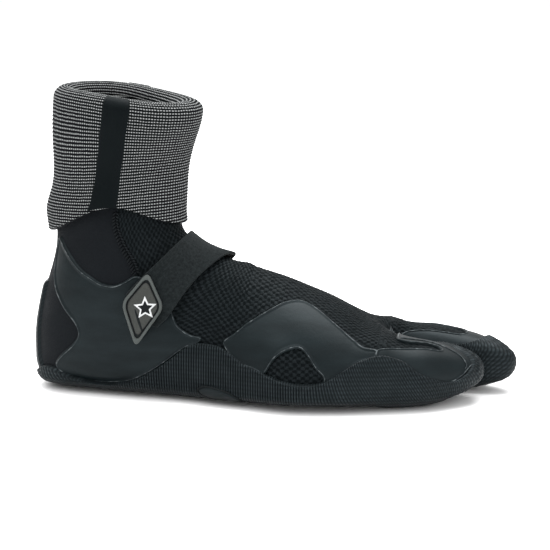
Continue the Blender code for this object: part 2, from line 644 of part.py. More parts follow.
def flap_grid(phi, rows, extra, low_trim=0.0, top=FOLD_Z - 0.2):
    """Grid of points on the flap, extra millimetres outside its inner face."""
    t = np.linspace(0, 1, rows)[:, None]
    bottom = cuff_bottom(phi)[None, :] + low_trim
    z = bottom + (top - bottom) * t
    return shaft_point(z, phi[None, :] + 0 * z, cuff_inner(z) + extra)


def cuff():
    phi = np.linspace(-math.pi, math.pi, CUFF_COLUMNS, endpoint=False)
    shell_from_grid("cuff_flap", flap_grid(phi, 8, 0.0), flap_grid(phi, 8, CUFF_THICK), KNIT_LOOK, wrap=True)
    z = np.linspace(FOLD_Z - 42, FOLD_Z - 0.2, 4)[:, None] + 0 * phi[None, :]
    angles = phi[None, :] + 0 * z
    shell_from_grid("cuff_lining", shaft_point(z, angles, -5.4), shaft_point(z, angles, -4.4), KNIT_LOOK, wrap=True)
    turn = np.linspace(0, math.pi, 9)[:, None]
    outer_level, inner_level = 1.05 + 6.45 * np.cos(turn), -0.15 + 4.25 * np.cos(turn)
    outer = shaft_point(FOLD_Z + 0.2 + 6.6 * np.sin(turn) + 0 * phi[None, :], phi[None, :] + 0 * turn,
                        outer_level + 0 * phi[None, :])
    inner = shaft_point(FOLD_Z + 0.2 + 3.9 * np.sin(turn) + 0 * phi[None, :], phi[None, :] + 0 * turn,
                        inner_level + 0 * phi[None, :])
    shell_from_grid("cuff_fold", inner, outer, KNIT_LOOK, wrap=True)
    for side, name in ((LATERAL, "seam_tape_lateral"), (MEDIAL, "seam_tape_medial")):
        arc = side * np.radians(np.linspace(78, 106, 5))
        shell_from_grid(name, flap_grid(arc, 7, CUFF_THICK + 0.3, 0.4), flap_grid(arc, 7, CUFF_THICK + 0.9, 0.4),
                        TAPE_LOOK)


def main():
    for thing in list(bpy.data.objects):
        bpy.data.objects.remove(thing, do_unlink=True)
    rear_panels()
    instep_panel()
    sock_bottom()
    footbed()
    for side, toes in ((LATERAL, "small_toes"), (MEDIAL, "big_toe")):
        toe_cup(toes + "_pocket", side, -NEOPRENE + 0.4, 0.0, NEOPRENE_LOOK)
        toe_cup(toes + "_overlay", side, GAP, OVERLAY_TOP, OVERLAY_LOOK)
        toe_sole(toes + "_rand", side)
    outsole()
    heel_strip()
    for side, label in ((LATERAL, "lateral"), (MEDIAL, "medial")):
        quarter_overlay("quarter_overlay_" + label, side)
        forefoot_overlay("forefoot_overlay_" + label, side)
        arch_pad("arch_pad_" + label, side)
        seam_stitching("seam_stitching_" + label, side)
    strap()
    badge()
    cuff()
    set_origin(("strap_over",), bend(STRAP_CUTS[1]))
    set_origin(("strap_side",), bend(STRAP_CUTS[2]))
    set_origin(("strap_end", "hook_pad", "badge_frame", "badge_plate", "badge_bar", "badge_emblem"),
               bend(STRAP_CUTS[3]))
    set_origin(("cuff_flap", "cuff_fold", "cuff_lining", "seam_tape_lateral", "seam_tape_medial"),
               (SHAFT_AXIS_X + (FOLD_Z - BEND_Z) * SHAFT_LEAN, 0, FOLD_Z))


main()
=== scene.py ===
"""Looks of the split-toe neoprene surf boot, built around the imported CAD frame.

All outlines are in millimetres or in the boot's own chart: station s along the shaft and the foot, and the
angle round the section in degrees (0 is the front or the top, 180 the back or the sole, lateral negative).
The boot's form is the function level(points): about the distance in mm from the neoprene's outer face.
"""
import math

import bpy
import numpy as np
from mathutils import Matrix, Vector
from mathutils.geometry import delaunay_2d_cdt


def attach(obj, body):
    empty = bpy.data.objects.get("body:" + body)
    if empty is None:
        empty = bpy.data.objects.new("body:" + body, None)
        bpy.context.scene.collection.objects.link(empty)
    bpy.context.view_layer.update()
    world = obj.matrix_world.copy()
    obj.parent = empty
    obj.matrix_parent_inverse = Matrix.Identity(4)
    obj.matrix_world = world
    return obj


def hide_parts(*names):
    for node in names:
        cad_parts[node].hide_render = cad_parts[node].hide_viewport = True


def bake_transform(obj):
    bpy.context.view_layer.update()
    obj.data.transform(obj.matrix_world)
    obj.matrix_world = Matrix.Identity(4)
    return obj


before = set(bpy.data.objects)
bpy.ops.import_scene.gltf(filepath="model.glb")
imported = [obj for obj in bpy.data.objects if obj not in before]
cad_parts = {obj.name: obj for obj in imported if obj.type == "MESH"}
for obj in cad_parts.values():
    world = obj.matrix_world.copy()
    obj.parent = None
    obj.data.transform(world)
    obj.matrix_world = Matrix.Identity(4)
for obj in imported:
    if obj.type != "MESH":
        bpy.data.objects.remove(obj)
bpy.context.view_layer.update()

MM = 0.001
LATERAL, MEDIAL = -1.0, 1.0
SIDES = ((LATERAL, "lateral"), (MEDIAL, "medial"))
PI = math.pi

# ---- the boot's form
# It is the CAD source's, but for the ridge of the instep and the toes: those follow the photo more closely.
SHAFT_TOP, SHAFT_LEAN = 171.0, 0.0875
BEND_X, BEND_Z, FAN = 100.0, 112.0, 100.0
CLEFT_Y, CLEFT_HALF = 16.0, 3.8
SOLE_SIDE, SOLE_UNDER = 3.3, 4.7
# (x, z) along the front and top, and along the back and sole
RIDGE = [(59.4, 185), (58.6, 176), (53, 112), (53.6, 104), (56, 97), (63, 90.5), (76, 84), (88, 80.0),
         (100, 77.0), (107, 74.8), (120, 70.8), (132, 66.2), (144, 60.8), (156, 54.3), (168, 48.0), (180, 43.5),
         (195, 40)]
BACK = [(-13.6, 185), (-14.4, 176), (-20, 112), (-21, 101), (-21.5, 90), (-24.5, 76), (-28, 64), (-31, 51),
        (-33, 39), (-33.5, 26), (-32.5, 14), (-28, 6.6), (-18, 4.2), (0, 4), (30, 4), (60, 4), (86, 4), (100, 4),
        (112, 4), (140, 4), (168, 4), (184, 4), (195, 4.3)]
# (station, half width outside, half width inside, depth of the widest line, roundness in front, and behind)
SECTIONS = [(-9, 25, 25, 77.8, 2.0, 2.0), (64, 25, 25, 83, 2.0, 2.0), (103, 30.5, 30.5, 92, 2.0, 2.1),
            (142, 32, 31, 105, 2.0, 2.6), (182, 33, 28, 90, 1.85, 3.8), (221, 42, 27, 91, 1.8, 4.4),
            (245, 48.5, 34, 91, 1.85, 4.4), (270, 46.5, 43, 91, 1.95, 4.2), (300, 38.5, 48, 92, 2.2, 4),
            (316, 34, 49, 92, 2.3, 4)]
# (x, middle y, half width, middle z, height above the middle, depth below it)
SMALL_TOES = [(165, -12.5, 30, 20, 30, 16), (178, -12.6, 27.4, 20, 24, 16), (186, -12.3, 24.8, 20, 20, 16),
              (205, -9, 21.2, 19, 16.5, 13.6), (220, -4, 17, 18, 14, 10.8), (235, 1, 14, 18, 13, 9)]
BIG_TOE = [(165, 29.5, 19, 20, 28, 16), (178, 31.5, 17, 20, 22.5, 16), (186, 34, 14.5, 20.5, 18.3, 16.3),
           (205, 34.5, 14.7, 21, 15.5, 16.5), (222, 33, 14, 20.2, 13.4, 15.0), (252, 26, 12, 18.0, 11.5, 11)]
# x where a toe's rounded end starts, and its length
SMALL_CAP, BIG_CAP = (205.0, 28.5), (221.0, 30.0)
TOE_ROUND, TIP_ROUND = 2.4, 2.5


def hermite(t, width, a, b, slope_a, slope_b):
    """Cubic from a to b with the given slopes, as t goes from 0 to 1 over the width."""
    return ((2 * t ** 3 - 3 * t ** 2 + 1) * a + (t ** 3 - 2 * t ** 2 + t) * width * slope_a
            + (3 * t ** 2 - 2 * t ** 3) * b + (t ** 3 - t ** 2) * width * slope_b)


def curve(keys):
    """Smooth curve y(x) through the given (x, y) keys."""
    xs, ys = (np.array(column, float) for column in zip(*keys))
    slopes = np.gradient(ys, xs)

    def at(x):
        x = np.clip(x, xs[0], xs[-1])
        i = np.clip(np.searchsorted(xs, x) - 1, 0, len(xs) - 2)
        width = xs[i + 1] - xs[i]
        return hermite((x - xs[i]) / width, width, ys[i], ys[i + 1], slopes[i], slopes[i + 1])
    return at


def ease(x, low, high):
    t = np.clip((x - low) / (high - low), 0, 1)
    return t * t * (3 - 2 * t)


def hump(x, centre, width):
    return np.exp(-((x - centre) / width) ** 2)


def rounded(x):
    """Height of a quarter round: 0 at x = 0, and 1 from x = 1 on."""
    return np.sqrt(1 - (1 - np.clip(x, 0, 1)) ** 2)


def swell(x):
    """0 to 1 and back once per unit."""
    return 0.5 - 0.5 * np.cos(2 * PI * x)


S_BEND = SHAFT_TOP + 5.0 - BEND_Z
S_FOOT = S_BEND + FAN * PI / 2


def station(x, z):
    """Station of the section plane through (x, z), and the depth of the point in that plane."""
    x, z = np.asarray(x, float), np.asarray(z, float)
    turn = np.arctan2(BEND_Z - z, BEND_X - x)
    shaft, foot = z >= BEND_Z, (x >= BEND_X) & (z < BEND_Z)
    s = np.where(shaft, S_BEND + BEND_Z - z, np.where(foot, S_FOOT + x - BEND_X, S_BEND + FAN * turn))
    depth = np.where(shaft, BEND_X - x, np.where(foot, BEND_Z - z, np.hypot(BEND_X - x, BEND_Z - z)))
    return s, depth


def depth_curve(profile):
    s, depth = station(*zip(*profile))
    return curve(list(zip(s, depth)))


FRONT, REAR = depth_curve(RIDGE), depth_curve(BACK)
HALF_LATERAL, HALF_MEDIAL, MIDDLE, ROUND_FRONT, ROUND_REAR = (
    curve([(row[0], row[k]) for row in SECTIONS]) for k in range(1, 6))
SMALL, BIG = ([curve([(row[0], row[k]) for row in rows]) for k in range(1, 6)]
              for rows in (SMALL_TOES, BIG_TOE))


def leg_level(p):
    s, depth = station(p[..., 0], p[..., 2])
    across, along = p[..., 1], depth - MIDDLE(s)
    half = np.where(across < 0, HALF_LATERAL(s), HALF_MEDIAL(s))
    reach = np.where(along < 0, MIDDLE(s) - FRONT(s), REAR(s) - MIDDLE(s))
    power = np.where(along < 0, ROUND_FRONT(s), ROUND_REAR(s))
    size = (np.abs(along / reach) ** power + np.abs(across / half) ** power) ** (1 / power)
    return np.hypot(along, across) * (1 - 1 / np.maximum(size, 1e-6))


def toe_level(p, shape, cap):
    x, start, length = p[..., 0], *cap
    centre_y, half, centre_z, above, below = (c(np.minimum(x, start + length)) for c in shape)
    across, up = p[..., 1] - centre_y, p[..., 2] - centre_z
    tall = np.where(up > 0, above, below)
    ring = (np.abs(across / half) ** TOE_ROUND + np.abs(up / tall) ** TOE_ROUND) ** (1 / TOE_ROUND)
    past = np.maximum(x - start, 0)
    size = (ring ** TIP_ROUND + (past / length) ** TIP_ROUND) ** (1 / TIP_ROUND)
    return np.sqrt(across ** 2 + up ** 2 + past ** 2) * (1 - 1 / np.maximum(size, 1e-6))


def melt(a, b, width):
    """Smooth minimum of two levels."""
    mix = np.clip(0.5 + 0.5 * (b - a) / width, 0, 1)
    return b + (a - b) * mix - width * mix * (1 - mix)


def level(p):
    """Level of the whole boot: 0 on the neoprene's outer face."""
    x = p[..., 0]
    toes = melt(toe_level(p, SMALL, SMALL_CAP), toe_level(p, BIG, BIG_CAP), 12 - 10.5 * ease(x, 176, 192))
    share = ease(x, 162, 184)
    return leg_level(p) * (1 - share) + toes * share


def pocket_level(side):
    """Level of one toe pocket alone, cut off beside the mid plane of the cleft."""
    def at(p):
        wall = -side * (p[..., 1] - CLEFT_Y) + CLEFT_HALF
        return -melt(-level(p), -wall, 2.0)
    return at


def cast(origin, direction, target, field=level, reach=190.0):
    """Points where rays from inside the boot meet the given level."""
    near, far = np.zeros(origin.shape[:-1]), np.full(origin.shape[:-1], reach)
    for _ in range(11):
        middle = (near + far) / 2
        outside = field(origin + middle[..., None] * direction) > target
        far, near = np.where(outside, middle, far), np.where(outside, near, middle)
    low = field(origin + near[..., None] * direction) - target
    high = field(origin + far[..., None] * direction) - target
    share = np.clip(-low / np.where(np.abs(high - low) < 1e-9, 1e-9, high - low), 0, 1)
    return origin + (near + (far - near) * share)[..., None] * direction


def body_point(s, phi, target):
    """Point at chart position (s, phi in radians) on a level."""
    s, phi, target = np.broadcast_arrays(np.asarray(s, float), np.asarray(phi, float), target)
    turn = np.clip((s - S_BEND) / FAN, 0, PI / 2)
    ox, oz = BEND_X + np.maximum(s - S_FOOT, 0), BEND_Z + np.maximum(S_BEND - s, 0)
    ex, ez = -np.cos(turn), -np.sin(turn)
    depth = MIDDLE(s)
    origin = np.stack([ox + depth * ex, 0 * s, oz + depth * ez], -1)
    return cast(origin, np.stack([-np.cos(phi) * ex, np.sin(phi), -np.cos(phi) * ez], -1), target)


def toe_point(side, u, phi, target):
    """Point on a toe pocket: u is x up to the rounded end, and then the way round to the tip."""
    shape, (start, length) = (SMALL, SMALL_CAP) if side < 0 else (BIG, BIG_CAP)
    u, phi, target = np.broadcast_arrays(np.asarray(u, float), np.asarray(phi, float), target)
    tilt = np.clip((u - start) / length, 0, 1) * PI / 2
    x = np.minimum(u, start)
    origin = np.stack([x, shape[0](x), shape[2](x)], -1)
    direction = np.stack([np.sin(tilt), np.cos(tilt) * np.sin(phi), np.cos(tilt) * np.cos(phi)], -1)
    return cast(origin, direction, target, pocket_level(side))


SHAFT_AXIS_X = 16.0


def shaft_point(z, phi, target):
    """Point on a level at height z, in a level plane, phi measured from the front."""
    z, phi, target = np.broadcast_arrays(np.asarray(z, float), np.asarray(phi, float), target)
    origin = np.stack([SHAFT_AXIS_X + (z - BEND_Z) * SHAFT_LEAN, 0 * z, z], -1)
    return cast(origin, np.stack([np.cos(phi), np.sin(phi), 0 * z], -1), target)


# ---- panel lines
# Closed or open lines of (station, degrees). A strap edge is (share of its run, station, degrees).
RIB_PITCH, BEAD_PITCH = 1.55, 2.6    # of the rand's ribs along the sole, and of the beads up each rib
RADIUS = 41.38             # turns chart angles into millimetres
STATION_TOP = S_BEND + BEND_Z - SHAFT_TOP
STATION_TOES = S_FOOT + 178.0 - BEND_X
FRONT_SEAM = [(STATION_TOP, 86), (50, 83), (72, 79), (86, 70), (103, 59), (114, 55), (135, 56), (160, 66),
              (173, 88)]
RAND_TOP = [(131, 180), (132, 154), (140, 149), (147, 145), (159, 129), (164, 117), (168, 106), (171, 97),
            (178, 79), (184, 74), (192, 72), (201, 71), (210, 74), (219, 79), (232, 85), (240, 89), (257, 92.5),
            (268, 91), (276, 86), (283, 79), (290, 73), (STATION_TOES, 68)]
QUARTER_TOP = [(79, 155), (86, 138), (97, 118), (103, 106), (108, 96), (113, 80), (114, 68), (114, 57),
               (120, 48), (134, 42), (148, 41), (156, 47), (166, 59), (177, 67.5), (186, 69.5)]
QUARTER_REAR = [(131, 153), (128, 133), (126, 128), (122, 129), (112, 139), (102, 149), (90, 156)]
FOREFOOT_TOP = [(203, 67), (212, 57), (221, 50), (235, 39), (244, 31), (252, 27), (259, 29), (273, 42),
                (285, 55), (291, 61), (STATION_TOES, 63)]
WINDOW = [(269, 89), (264, 82), (260, 75), (255, 69), (249, 70), (241, 76), (236, 85)]
ARCH_PAD = [(194, 115), (197, 109), (204, 106), (213, 105.5), (219, 110), (221, 116), (218, 120), (208, 121.5),
            (198, 120)]
STRAP_UPPER = [(0, 121, 66), (0.12, 117, 52), (0.25, 112, 38), (0.36, 105, 22), (0.45, 101, 8), (0.52, 101, -8),
               (0.62, 105, -22), (0.74, 112, -38), (0.85, 117, -52), (1.0, 122, -68)]
STRAP_LOWER = [(0, 156, 62), (0.12, 156, 50), (0.25, 157, 36), (0.36, 167, 20), (0.45, 178, 6), (0.52, 164, -4),
               (0.62, 154, -18), (0.74, 153, -34), (0.85, 155, -50), (1.0, 154, -64)]
STRAP_BENDS = (0.11, 0.50, 0.80)   # shares of the run where the strap turns
STRAP_THICK, STRAP_LOW, STRAP_HIGH = 1.7, 2.3, 4.8     # level of its under side at the anchor and the badge
STRAP_RUN, STRAP_WIDE = 165.0, 27
STRAP_END_ROUND, BEND_REACH = 0.9, 0.028
HEEL_STRIP = (100, 131, 15)        # stations of its ends, and half its width in degrees
MM_PER_DEGREE = 0.72               # round the heel
FOLD_Z = 171.5
KNIT_PITCH, LOOP_PITCH, LINING_PITCH = 1.8, 1.5, 2.3


# ---- camera, light, floor
def stage_set():
    """Camera at the photograph's angle, soft studio light and a plain pale floor."""
    azimuth, elevation, distance = math.radians(10), math.radians(11.5), 1.4
    target = Vector((0.105, 0.0, 0.088))
    back = Vector((math.sin(azimuth) * math.cos(elevation), -math.cos(azimuth) * math.cos(elevation),
                   math.sin(elevation)))
    camera = bpy.data.cameras.new("camera")
    camera.sensor_width, camera.lens = 36.0, 153.7
    camera.shift_x, camera.shift_y = 0.0195, -0.0478
    camera.clip_start, camera.clip_end = 0.1, 20.0
    eye = bpy.data.objects.new("camera", camera)
    eye.location = target + back * distance
    eye.rotation_euler = back.to_track_quat("Z", "Y").to_euler()
    bpy.context.scene.collection.objects.link(eye)
    bpy.context.scene.camera = eye
    lamps = (("key", (-0.35, -0.75, 1.05), 0.9, 8.0), ("fill", (0.95, -0.75, 0.65), 0.9, 4.0),
             ("top", (0.15, 0.25, 1.2), 1.1, 30.0), ("rim", (-0.7, 0.8, 0.7), 0.7, 8.0))
    for name, place, size, power in lamps:
        lamp = bpy.data.lights.new(name, "AREA")
        lamp.shape, lamp.size, lamp.energy = "SQUARE", size, power
        holder = bpy.data.objects.new(name, lamp)
        holder.location = place
        holder.rotation_euler = (Vector(place) - target).to_track_quat("Z", "Y").to_euler()
        bpy.context.scene.collection.objects.link(holder)
    world = bpy.data.worlds.new("studio")
    world.use_nodes = True
    world.node_tree.nodes["Background"].inputs["Color"].default_value = (1, 1, 1, 1)
    world.node_tree.nodes["Background"].inputs["Strength"].default_value = 1.0
    bpy.context.scene.world = world
    bpy.context.scene.view_settings.view_transform = "Standard"
    bpy.ops.mesh.primitive_plane_add(size=8, location=(0, 0, -0.0002))
    floor = bpy.context.object
    floor.name = "floor"
    paint = Paint("floor_white", (0.93, 0.93, 0.93), 0.9, 0.0)
    floor.data.materials.append(paint.material)


# ---- materials
class Paint:
    """A Principled material whose colour, roughness and bump are wired step by step."""

    def __init__(self, name, colour, roughness, specular, sheen=0.0):
        self.material = bpy.data.materials.new(name)
        self.material.use_nodes = True
        self.tree = self.material.node_tree
        self.shader = self.tree.nodes["Principled BSDF"]
        self.shader.inputs["Base Color"].default_value = (*colour, 1)
        self.shader.inputs["Roughness"].default_value = roughness
        self.shader.inputs["Specular IOR Level"].default_value = specular
        self.shader.inputs["Specular Tint"].default_value = (0.78, 0.94, 1.0, 1)
        self.shader.inputs["Sheen Weight"].default_value = sheen
        self.shader.inputs["Sheen Roughness"].default_value = 0.6

    def node(self, kind, **settings):
        made = self.tree.nodes.new(kind)
        for key, value in settings.items():
            if key in made.inputs:
                made.inputs[key].default_value = value
            else:
                setattr(made, key, value)
        return made

    def join(self, source, target):
        if isinstance(source, (int, float)):
            target.default_value = source
        else:
            self.tree.links.new(source, target)

    def math(self, operation, a, b=0.0, c=0.0):
        made = self.node("ShaderNodeMath", operation=operation)
        for value, socket in zip((a, b, c), made.inputs):
            self.join(value, socket)
        return made.outputs[0]

    def chart(self):
        """The two chart coordinates in millimetres."""
        uv = self.node("ShaderNodeUVMap", uv_map="chart")
        split = self.node("ShaderNodeSeparateXYZ")
        self.join(uv.outputs[0], split.inputs[0])
        return split.outputs[0], split.outputs[1]

    def noise(self, scale, detail=3.0, stretch=(1, 1, 1)):
        """Noise in object space; scale is per metre."""
        place = self.node("ShaderNodeTexCoord")
        turned = self.node("ShaderNodeMapping")
        turned.inputs["Scale"].default_value = stretch
        self.join(place.outputs["Object"], turned.inputs["Vector"])
        made = self.node("ShaderNodeTexNoise", Scale=scale, Detail=detail)
        self.join(turned.outputs[0], made.inputs["Vector"])
        return made.outputs["Fac"]

    def mix(self, share, low, high):
        """Colour between low and high; each is a triple or a socket."""
        made = self.node("ShaderNodeMix", data_type="RGBA")
        self.join(share, made.inputs[0])
        for value, socket in ((low, made.inputs[6]), (high, made.inputs[7])):
            if isinstance(value, tuple):
                socket.default_value = (*value, 1)
            else:
                self.tree.links.new(value, socket)
        return made.outputs[2]

    def remap(self, value, low, high, to_low=0.0, to_high=1.0):
        made = self.node("ShaderNodeMapRange")
        self.join(value, made.inputs["Value"])
        for key, number in (("From Min", low), ("From Max", high), ("To Min", to_low), ("To Max", to_high)):
            made.inputs[key].default_value = number
        return made.outputs[0]

    def wave(self, value, pitch, shift=0.0):
        """0 to 1 and back once per pitch."""
        turned = self.math("MULTIPLY_ADD", value, 2 * PI / pitch, shift)
        return self.math("MULTIPLY_ADD", self.math("COSINE", turned), -0.5, 0.5)

    def colour(self, socket):
        self.join(socket, self.shader.inputs["Base Color"])

    def rough(self, socket):
        self.join(socket, self.shader.inputs["Roughness"])

    def bump(self, height, distance):
        """Bump from a height of 0 to 1 over the given distance in millimetres; several stack up."""
        made = self.node("ShaderNodeBump", Distance=distance * MM)
        self.join(height, made.inputs["Height"])
        before = self.shader.inputs["Normal"]
        if before.is_linked:
            self.tree.links.new(before.links[0].from_socket, made.inputs["Normal"])
        self.join(made.outputs[0], before)


def neoprene_paint():
    """Jersey-faced neoprene: a very fine knit that catches a soft sheen."""
    paint = Paint("jersey_neoprene", (0.006, 0.0065, 0.008), 0.78, 0.06, sheen=0.012)
    u, v = paint.chart()
    knit = paint.math("MULTIPLY", paint.wave(u, 0.8), paint.wave(v, 0.65))
    blotch = paint.noise(90, 4)
    paint.colour(paint.mix(blotch, (0.003, 0.0036, 0.0046), (0.0055, 0.0062, 0.0075)))
    paint.rough(paint.remap(blotch, 0.3, 0.7, 0.72, 0.85))
    paint.bump(knit, 0.12)
    paint.bump(paint.noise(1500, 2), 0.05)
    return paint.material


MESH_PITCH = (2.4, 3.2)    # of the mesh cells, along and across the foot in mm


def air_mesh_paint():
    """Mesh-faced neoprene: painted shade in sunk cells, painted highlight on threads, in step with the moulded
    ones.
    """
    paint = Paint("mesh_neoprene", (0.006, 0.0075, 0.008), 0.62, 0.05)
    u, v = paint.chart()
    wobble = paint.math("MULTIPLY_ADD", paint.noise(300, 2), 3.0, -1.5)
    u, v = paint.math("ADD", u, wobble), paint.math("SUBTRACT", v, wobble)
    along = paint.math("SINE", paint.math("MULTIPLY", u, PI / MESH_PITCH[0]))
    across = paint.math("COSINE", paint.math("MULTIPLY", v, 2 * PI / MESH_PITCH[1]))
    raised = paint.remap(paint.math("MULTIPLY", along, across), -0.35, 0.4)
    blotch = paint.remap(paint.noise(140, 4), 0.3, 0.7, 0.45, 1.0)
    share = paint.math("MULTIPLY", raised, blotch)
    # painted shade and highlight: dark where the cells sink, light on the raised threads between them
    paint.colour(paint.mix(share, (0.0016, 0.0023, 0.0026), (0.0072, 0.0092, 0.0102)))
    paint.rough(paint.remap(raised, 0, 1, 0.8, 0.5))
    paint.bump(raised, 0.25)
    return paint.material


def film_paint():
    """Thin rubber film: satin, with a faint brushed grain."""
    paint = Paint("rubber_film", (0.004, 0.0055, 0.006), 0.42, 0.13)
    paint.shader.inputs["Coat Weight"].default_value = 0.02
    paint.shader.inputs["Coat Roughness"].default_value = 0.35
    smear = paint.noise(60, 5, (0.5, 1, 2.2))
    paint.colour(paint.mix(paint.remap(smear, 0.35, 0.7), (0.0016, 0.0028, 0.0033), (0.0042, 0.0066, 0.0075)))
    paint.rough(paint.remap(smear, 0.3, 0.75, 0.5, 0.36))
    paint.bump(paint.noise(420, 3), 0.10)
    paint.bump(paint.noise(2600, 2), 0.035)
    return paint.material


def sole_paint():
    """Moulded rubber of the sole and its ribbed rand."""
    paint = Paint("moulded_rubber", (0.004, 0.005, 0.006), 0.5, 0.14)
    smear = paint.noise(110, 4)
    paint.colour(paint.mix(smear, (0.0026, 0.0038, 0.0044), (0.0055, 0.0072, 0.008)))
    paint.rough(paint.remap(smear, 0.3, 0.7, 0.56, 0.42))
    paint.bump(paint.noise(1900, 3), 0.06)
    return paint.material


def rib_paint():
    """Rubber of the ribbed rand: painted highlight in beads on the ribs, painted shade in the grooves between
    them.
    """
    paint = Paint("ribbed_rubber", (0.004, 0.005, 0.006), 0.45, 0.13)
    u, v = paint.chart()
    beads = paint.remap(paint.wave(v, BEAD_PITCH), 0, 1, 0.35, 1.0)
    smear = paint.remap(paint.noise(140, 4), 0.3, 0.7, 0.5, 1.0)
    ridge = paint.math("MULTIPLY", paint.math("MULTIPLY", paint.wave(u, RIB_PITCH), beads), smear)
    # painted highlight on the rib crests, broken into beads, and painted shade in the grooves, in step with the
    # moulded ribs
    paint.colour(paint.mix(ridge, (0.0008, 0.0014, 0.0017), (0.0165, 0.0215, 0.024)))
    paint.rough(paint.remap(ridge, 0, 1, 0.6, 0.3))
    return paint.material


def weld_paint():
    """Raised edge of the films: painted lighter as a highlight line, with brighter painted glints in places."""
    # lighter than the film all over: a painted highlight line, speckled with brighter painted glints
    paint = Paint("weld_line", (0.02, 0.022, 0.023), 0.4, 0.3)
    painted_glints = paint.remap(paint.noise(330, 4), 0.48, 0.68)
    paint.colour(paint.mix(painted_glints, (0.006, 0.008, 0.009), (0.085, 0.095, 0.098)))
    return paint.material


def knit_paint(name, pitch, loop, bright):
    """Rows of light and black yarn; the light rows break into loops."""
    paint = Paint(name, (0.1, 0.1, 0.1), 0.88, 0.06)
    u, v = paint.chart()
    wobble = paint.math("MULTIPLY_ADD", paint.noise(260, 2), 0.7, -0.35)
    row = paint.remap(paint.wave(paint.math("ADD", v, wobble), pitch), 0.55, 0.95)
    loops = paint.remap(paint.wave(paint.math("ADD", u, wobble), loop), 0.25, 0.85, 0.12, 1.0)
    blotch = paint.remap(paint.noise(900, 3), 0.3, 0.7, 0.72, 1.0)
    share = paint.math("MULTIPLY", paint.math("MULTIPLY", row, loops), blotch)
    paint.colour(paint.mix(share, (0.0022, 0.0026, 0.003), (bright, bright * 1.03, bright * 1.03)))
    paint.bump(paint.wave(u, loop), 0.25)
    paint.bump(paint.noise(2400, 2), 0.08)
    return paint.material


def tape_paint():
    """Smooth black tape glued over a seam."""
    paint = Paint("seam_tape", (0.002, 0.003, 0.003), 0.5, 0.05)
    u, v = paint.chart()
    paint.colour(paint.mix(paint.noise(120, 3), (0.0012, 0.0019, 0.0022), (0.0022, 0.003, 0.0033)))
    paint.bump(paint.math("MULTIPLY", paint.wave(u, 0.7), paint.wave(v, 0.7)), 0.03)
    return paint.material


def webbing_paint():
    """Brushed woven webbing with a fine twill."""
    paint = Paint("woven_webbing", (0.01, 0.0125, 0.013), 0.86, 0.08, sheen=0.03)
    u, v = paint.chart()
    twill = paint.math("MULTIPLY", paint.wave(paint.math("ADD", u, v), 1.1),
                       paint.wave(paint.math("SUBTRACT", v, u), 0.9))
    fuzz = paint.noise(700, 4)
    share = paint.math("MULTIPLY", paint.remap(fuzz, 0.25, 0.75), paint.remap(twill, 0, 1, 0.45, 1))
    paint.colour(paint.mix(share, (0.002, 0.003, 0.0034), (0.016, 0.02, 0.0205)))
    paint.bump(twill, 0.16)
    paint.bump(fuzz, 0.12)
    return paint.material


def thread_paint():
    paint = Paint("black_thread", (0.004, 0.0045, 0.005), 0.6, 0.12)
    paint.bump(paint.noise(3000, 2), 0.05)
    return paint.material


def badge_paint(name, low, high, roughness):
    """Moulded rubber of the badge, finely grained."""
    paint = Paint(name, low, roughness, 0.14)
    paint.colour(paint.mix(paint.noise(900, 3), low, high))
    paint.bump(paint.noise(1500, 3), 0.12)
    return paint.material


PAINTS = {}


def mix_paints():
    PAINTS.update(
        neoprene=neoprene_paint(), mesh=air_mesh_paint(), film=film_paint(), sole=sole_paint(),
        knit=knit_paint("striped_knit", KNIT_PITCH, LOOP_PITCH, 0.34),
        lining=knit_paint("striped_lining", LINING_PITCH, LOOP_PITCH, 0.36),
        ribs=rib_paint(), weld=weld_paint(), tape=tape_paint(), webbing=webbing_paint(), thread=thread_paint(),
        frame=badge_paint("badge_frame_rubber", (0.042, 0.047, 0.044), (0.06, 0.066, 0.063), 0.42),
        plate=badge_paint("badge_plate_rubber", (0.024, 0.0245, 0.022), (0.04, 0.0405, 0.037), 0.5),
        black=badge_paint("black_rubber", (0.002, 0.002, 0.002), (0.0035, 0.0035, 0.0035), 0.5),
        white=badge_paint("white_print", (0.42, 0.43, 0.43), (0.52, 0.53, 0.53), 0.5),
        foam=neoprene_paint())     # a material of its own, because it has a slot of its own


# ---- mesh helpers
def pairs(u, v):
    """Chart positions (u, v) as one array, each spread over the other's shape."""
    return np.stack(np.broadcast_arrays(u, v), -1)


def piece(name, points, faces, corner_uv, paint, nodes=(), body="boot", ride=True):
    """One visible piece: points in mm, faces, one chart position per face corner."""
    mesh = bpy.data.meshes.new(name)
    mesh.from_pydata((np.asarray(points) * MM).tolist(), [], faces)
    if corner_uv is not None:
        layer = mesh.uv_layers.new(name="chart")
        layer.data.foreach_set("uv", np.asarray(corner_uv, np.float32).ravel())
    mesh.materials.append(PAINTS[paint])
    mesh.shade_smooth()
    mesh.set_sharp_from_angle(angle=math.radians(62))
    made = bpy.data.objects.new(name, mesh)
    bpy.context.scene.collection.objects.link(made)
    if nodes:
        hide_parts(*nodes)
    if ride:
        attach(made, body)
    return made


def grid_quads(rows, columns, wrap):
    """Quads of a grid, and for each corner its (row, column) with the column counted on past a wrap."""
    i, j = np.meshgrid(np.arange(rows - 1), np.arange(columns if wrap else columns - 1), indexing="ij")
    i, j = i.ravel(), j.ravel()
    corners = np.stack([np.stack([i, j], -1), np.stack([i, j + 1], -1),
                        np.stack([i + 1, j + 1], -1), np.stack([i + 1, j], -1)], 1)
    return corners[..., 0] * columns + corners[..., 1] % columns, corners


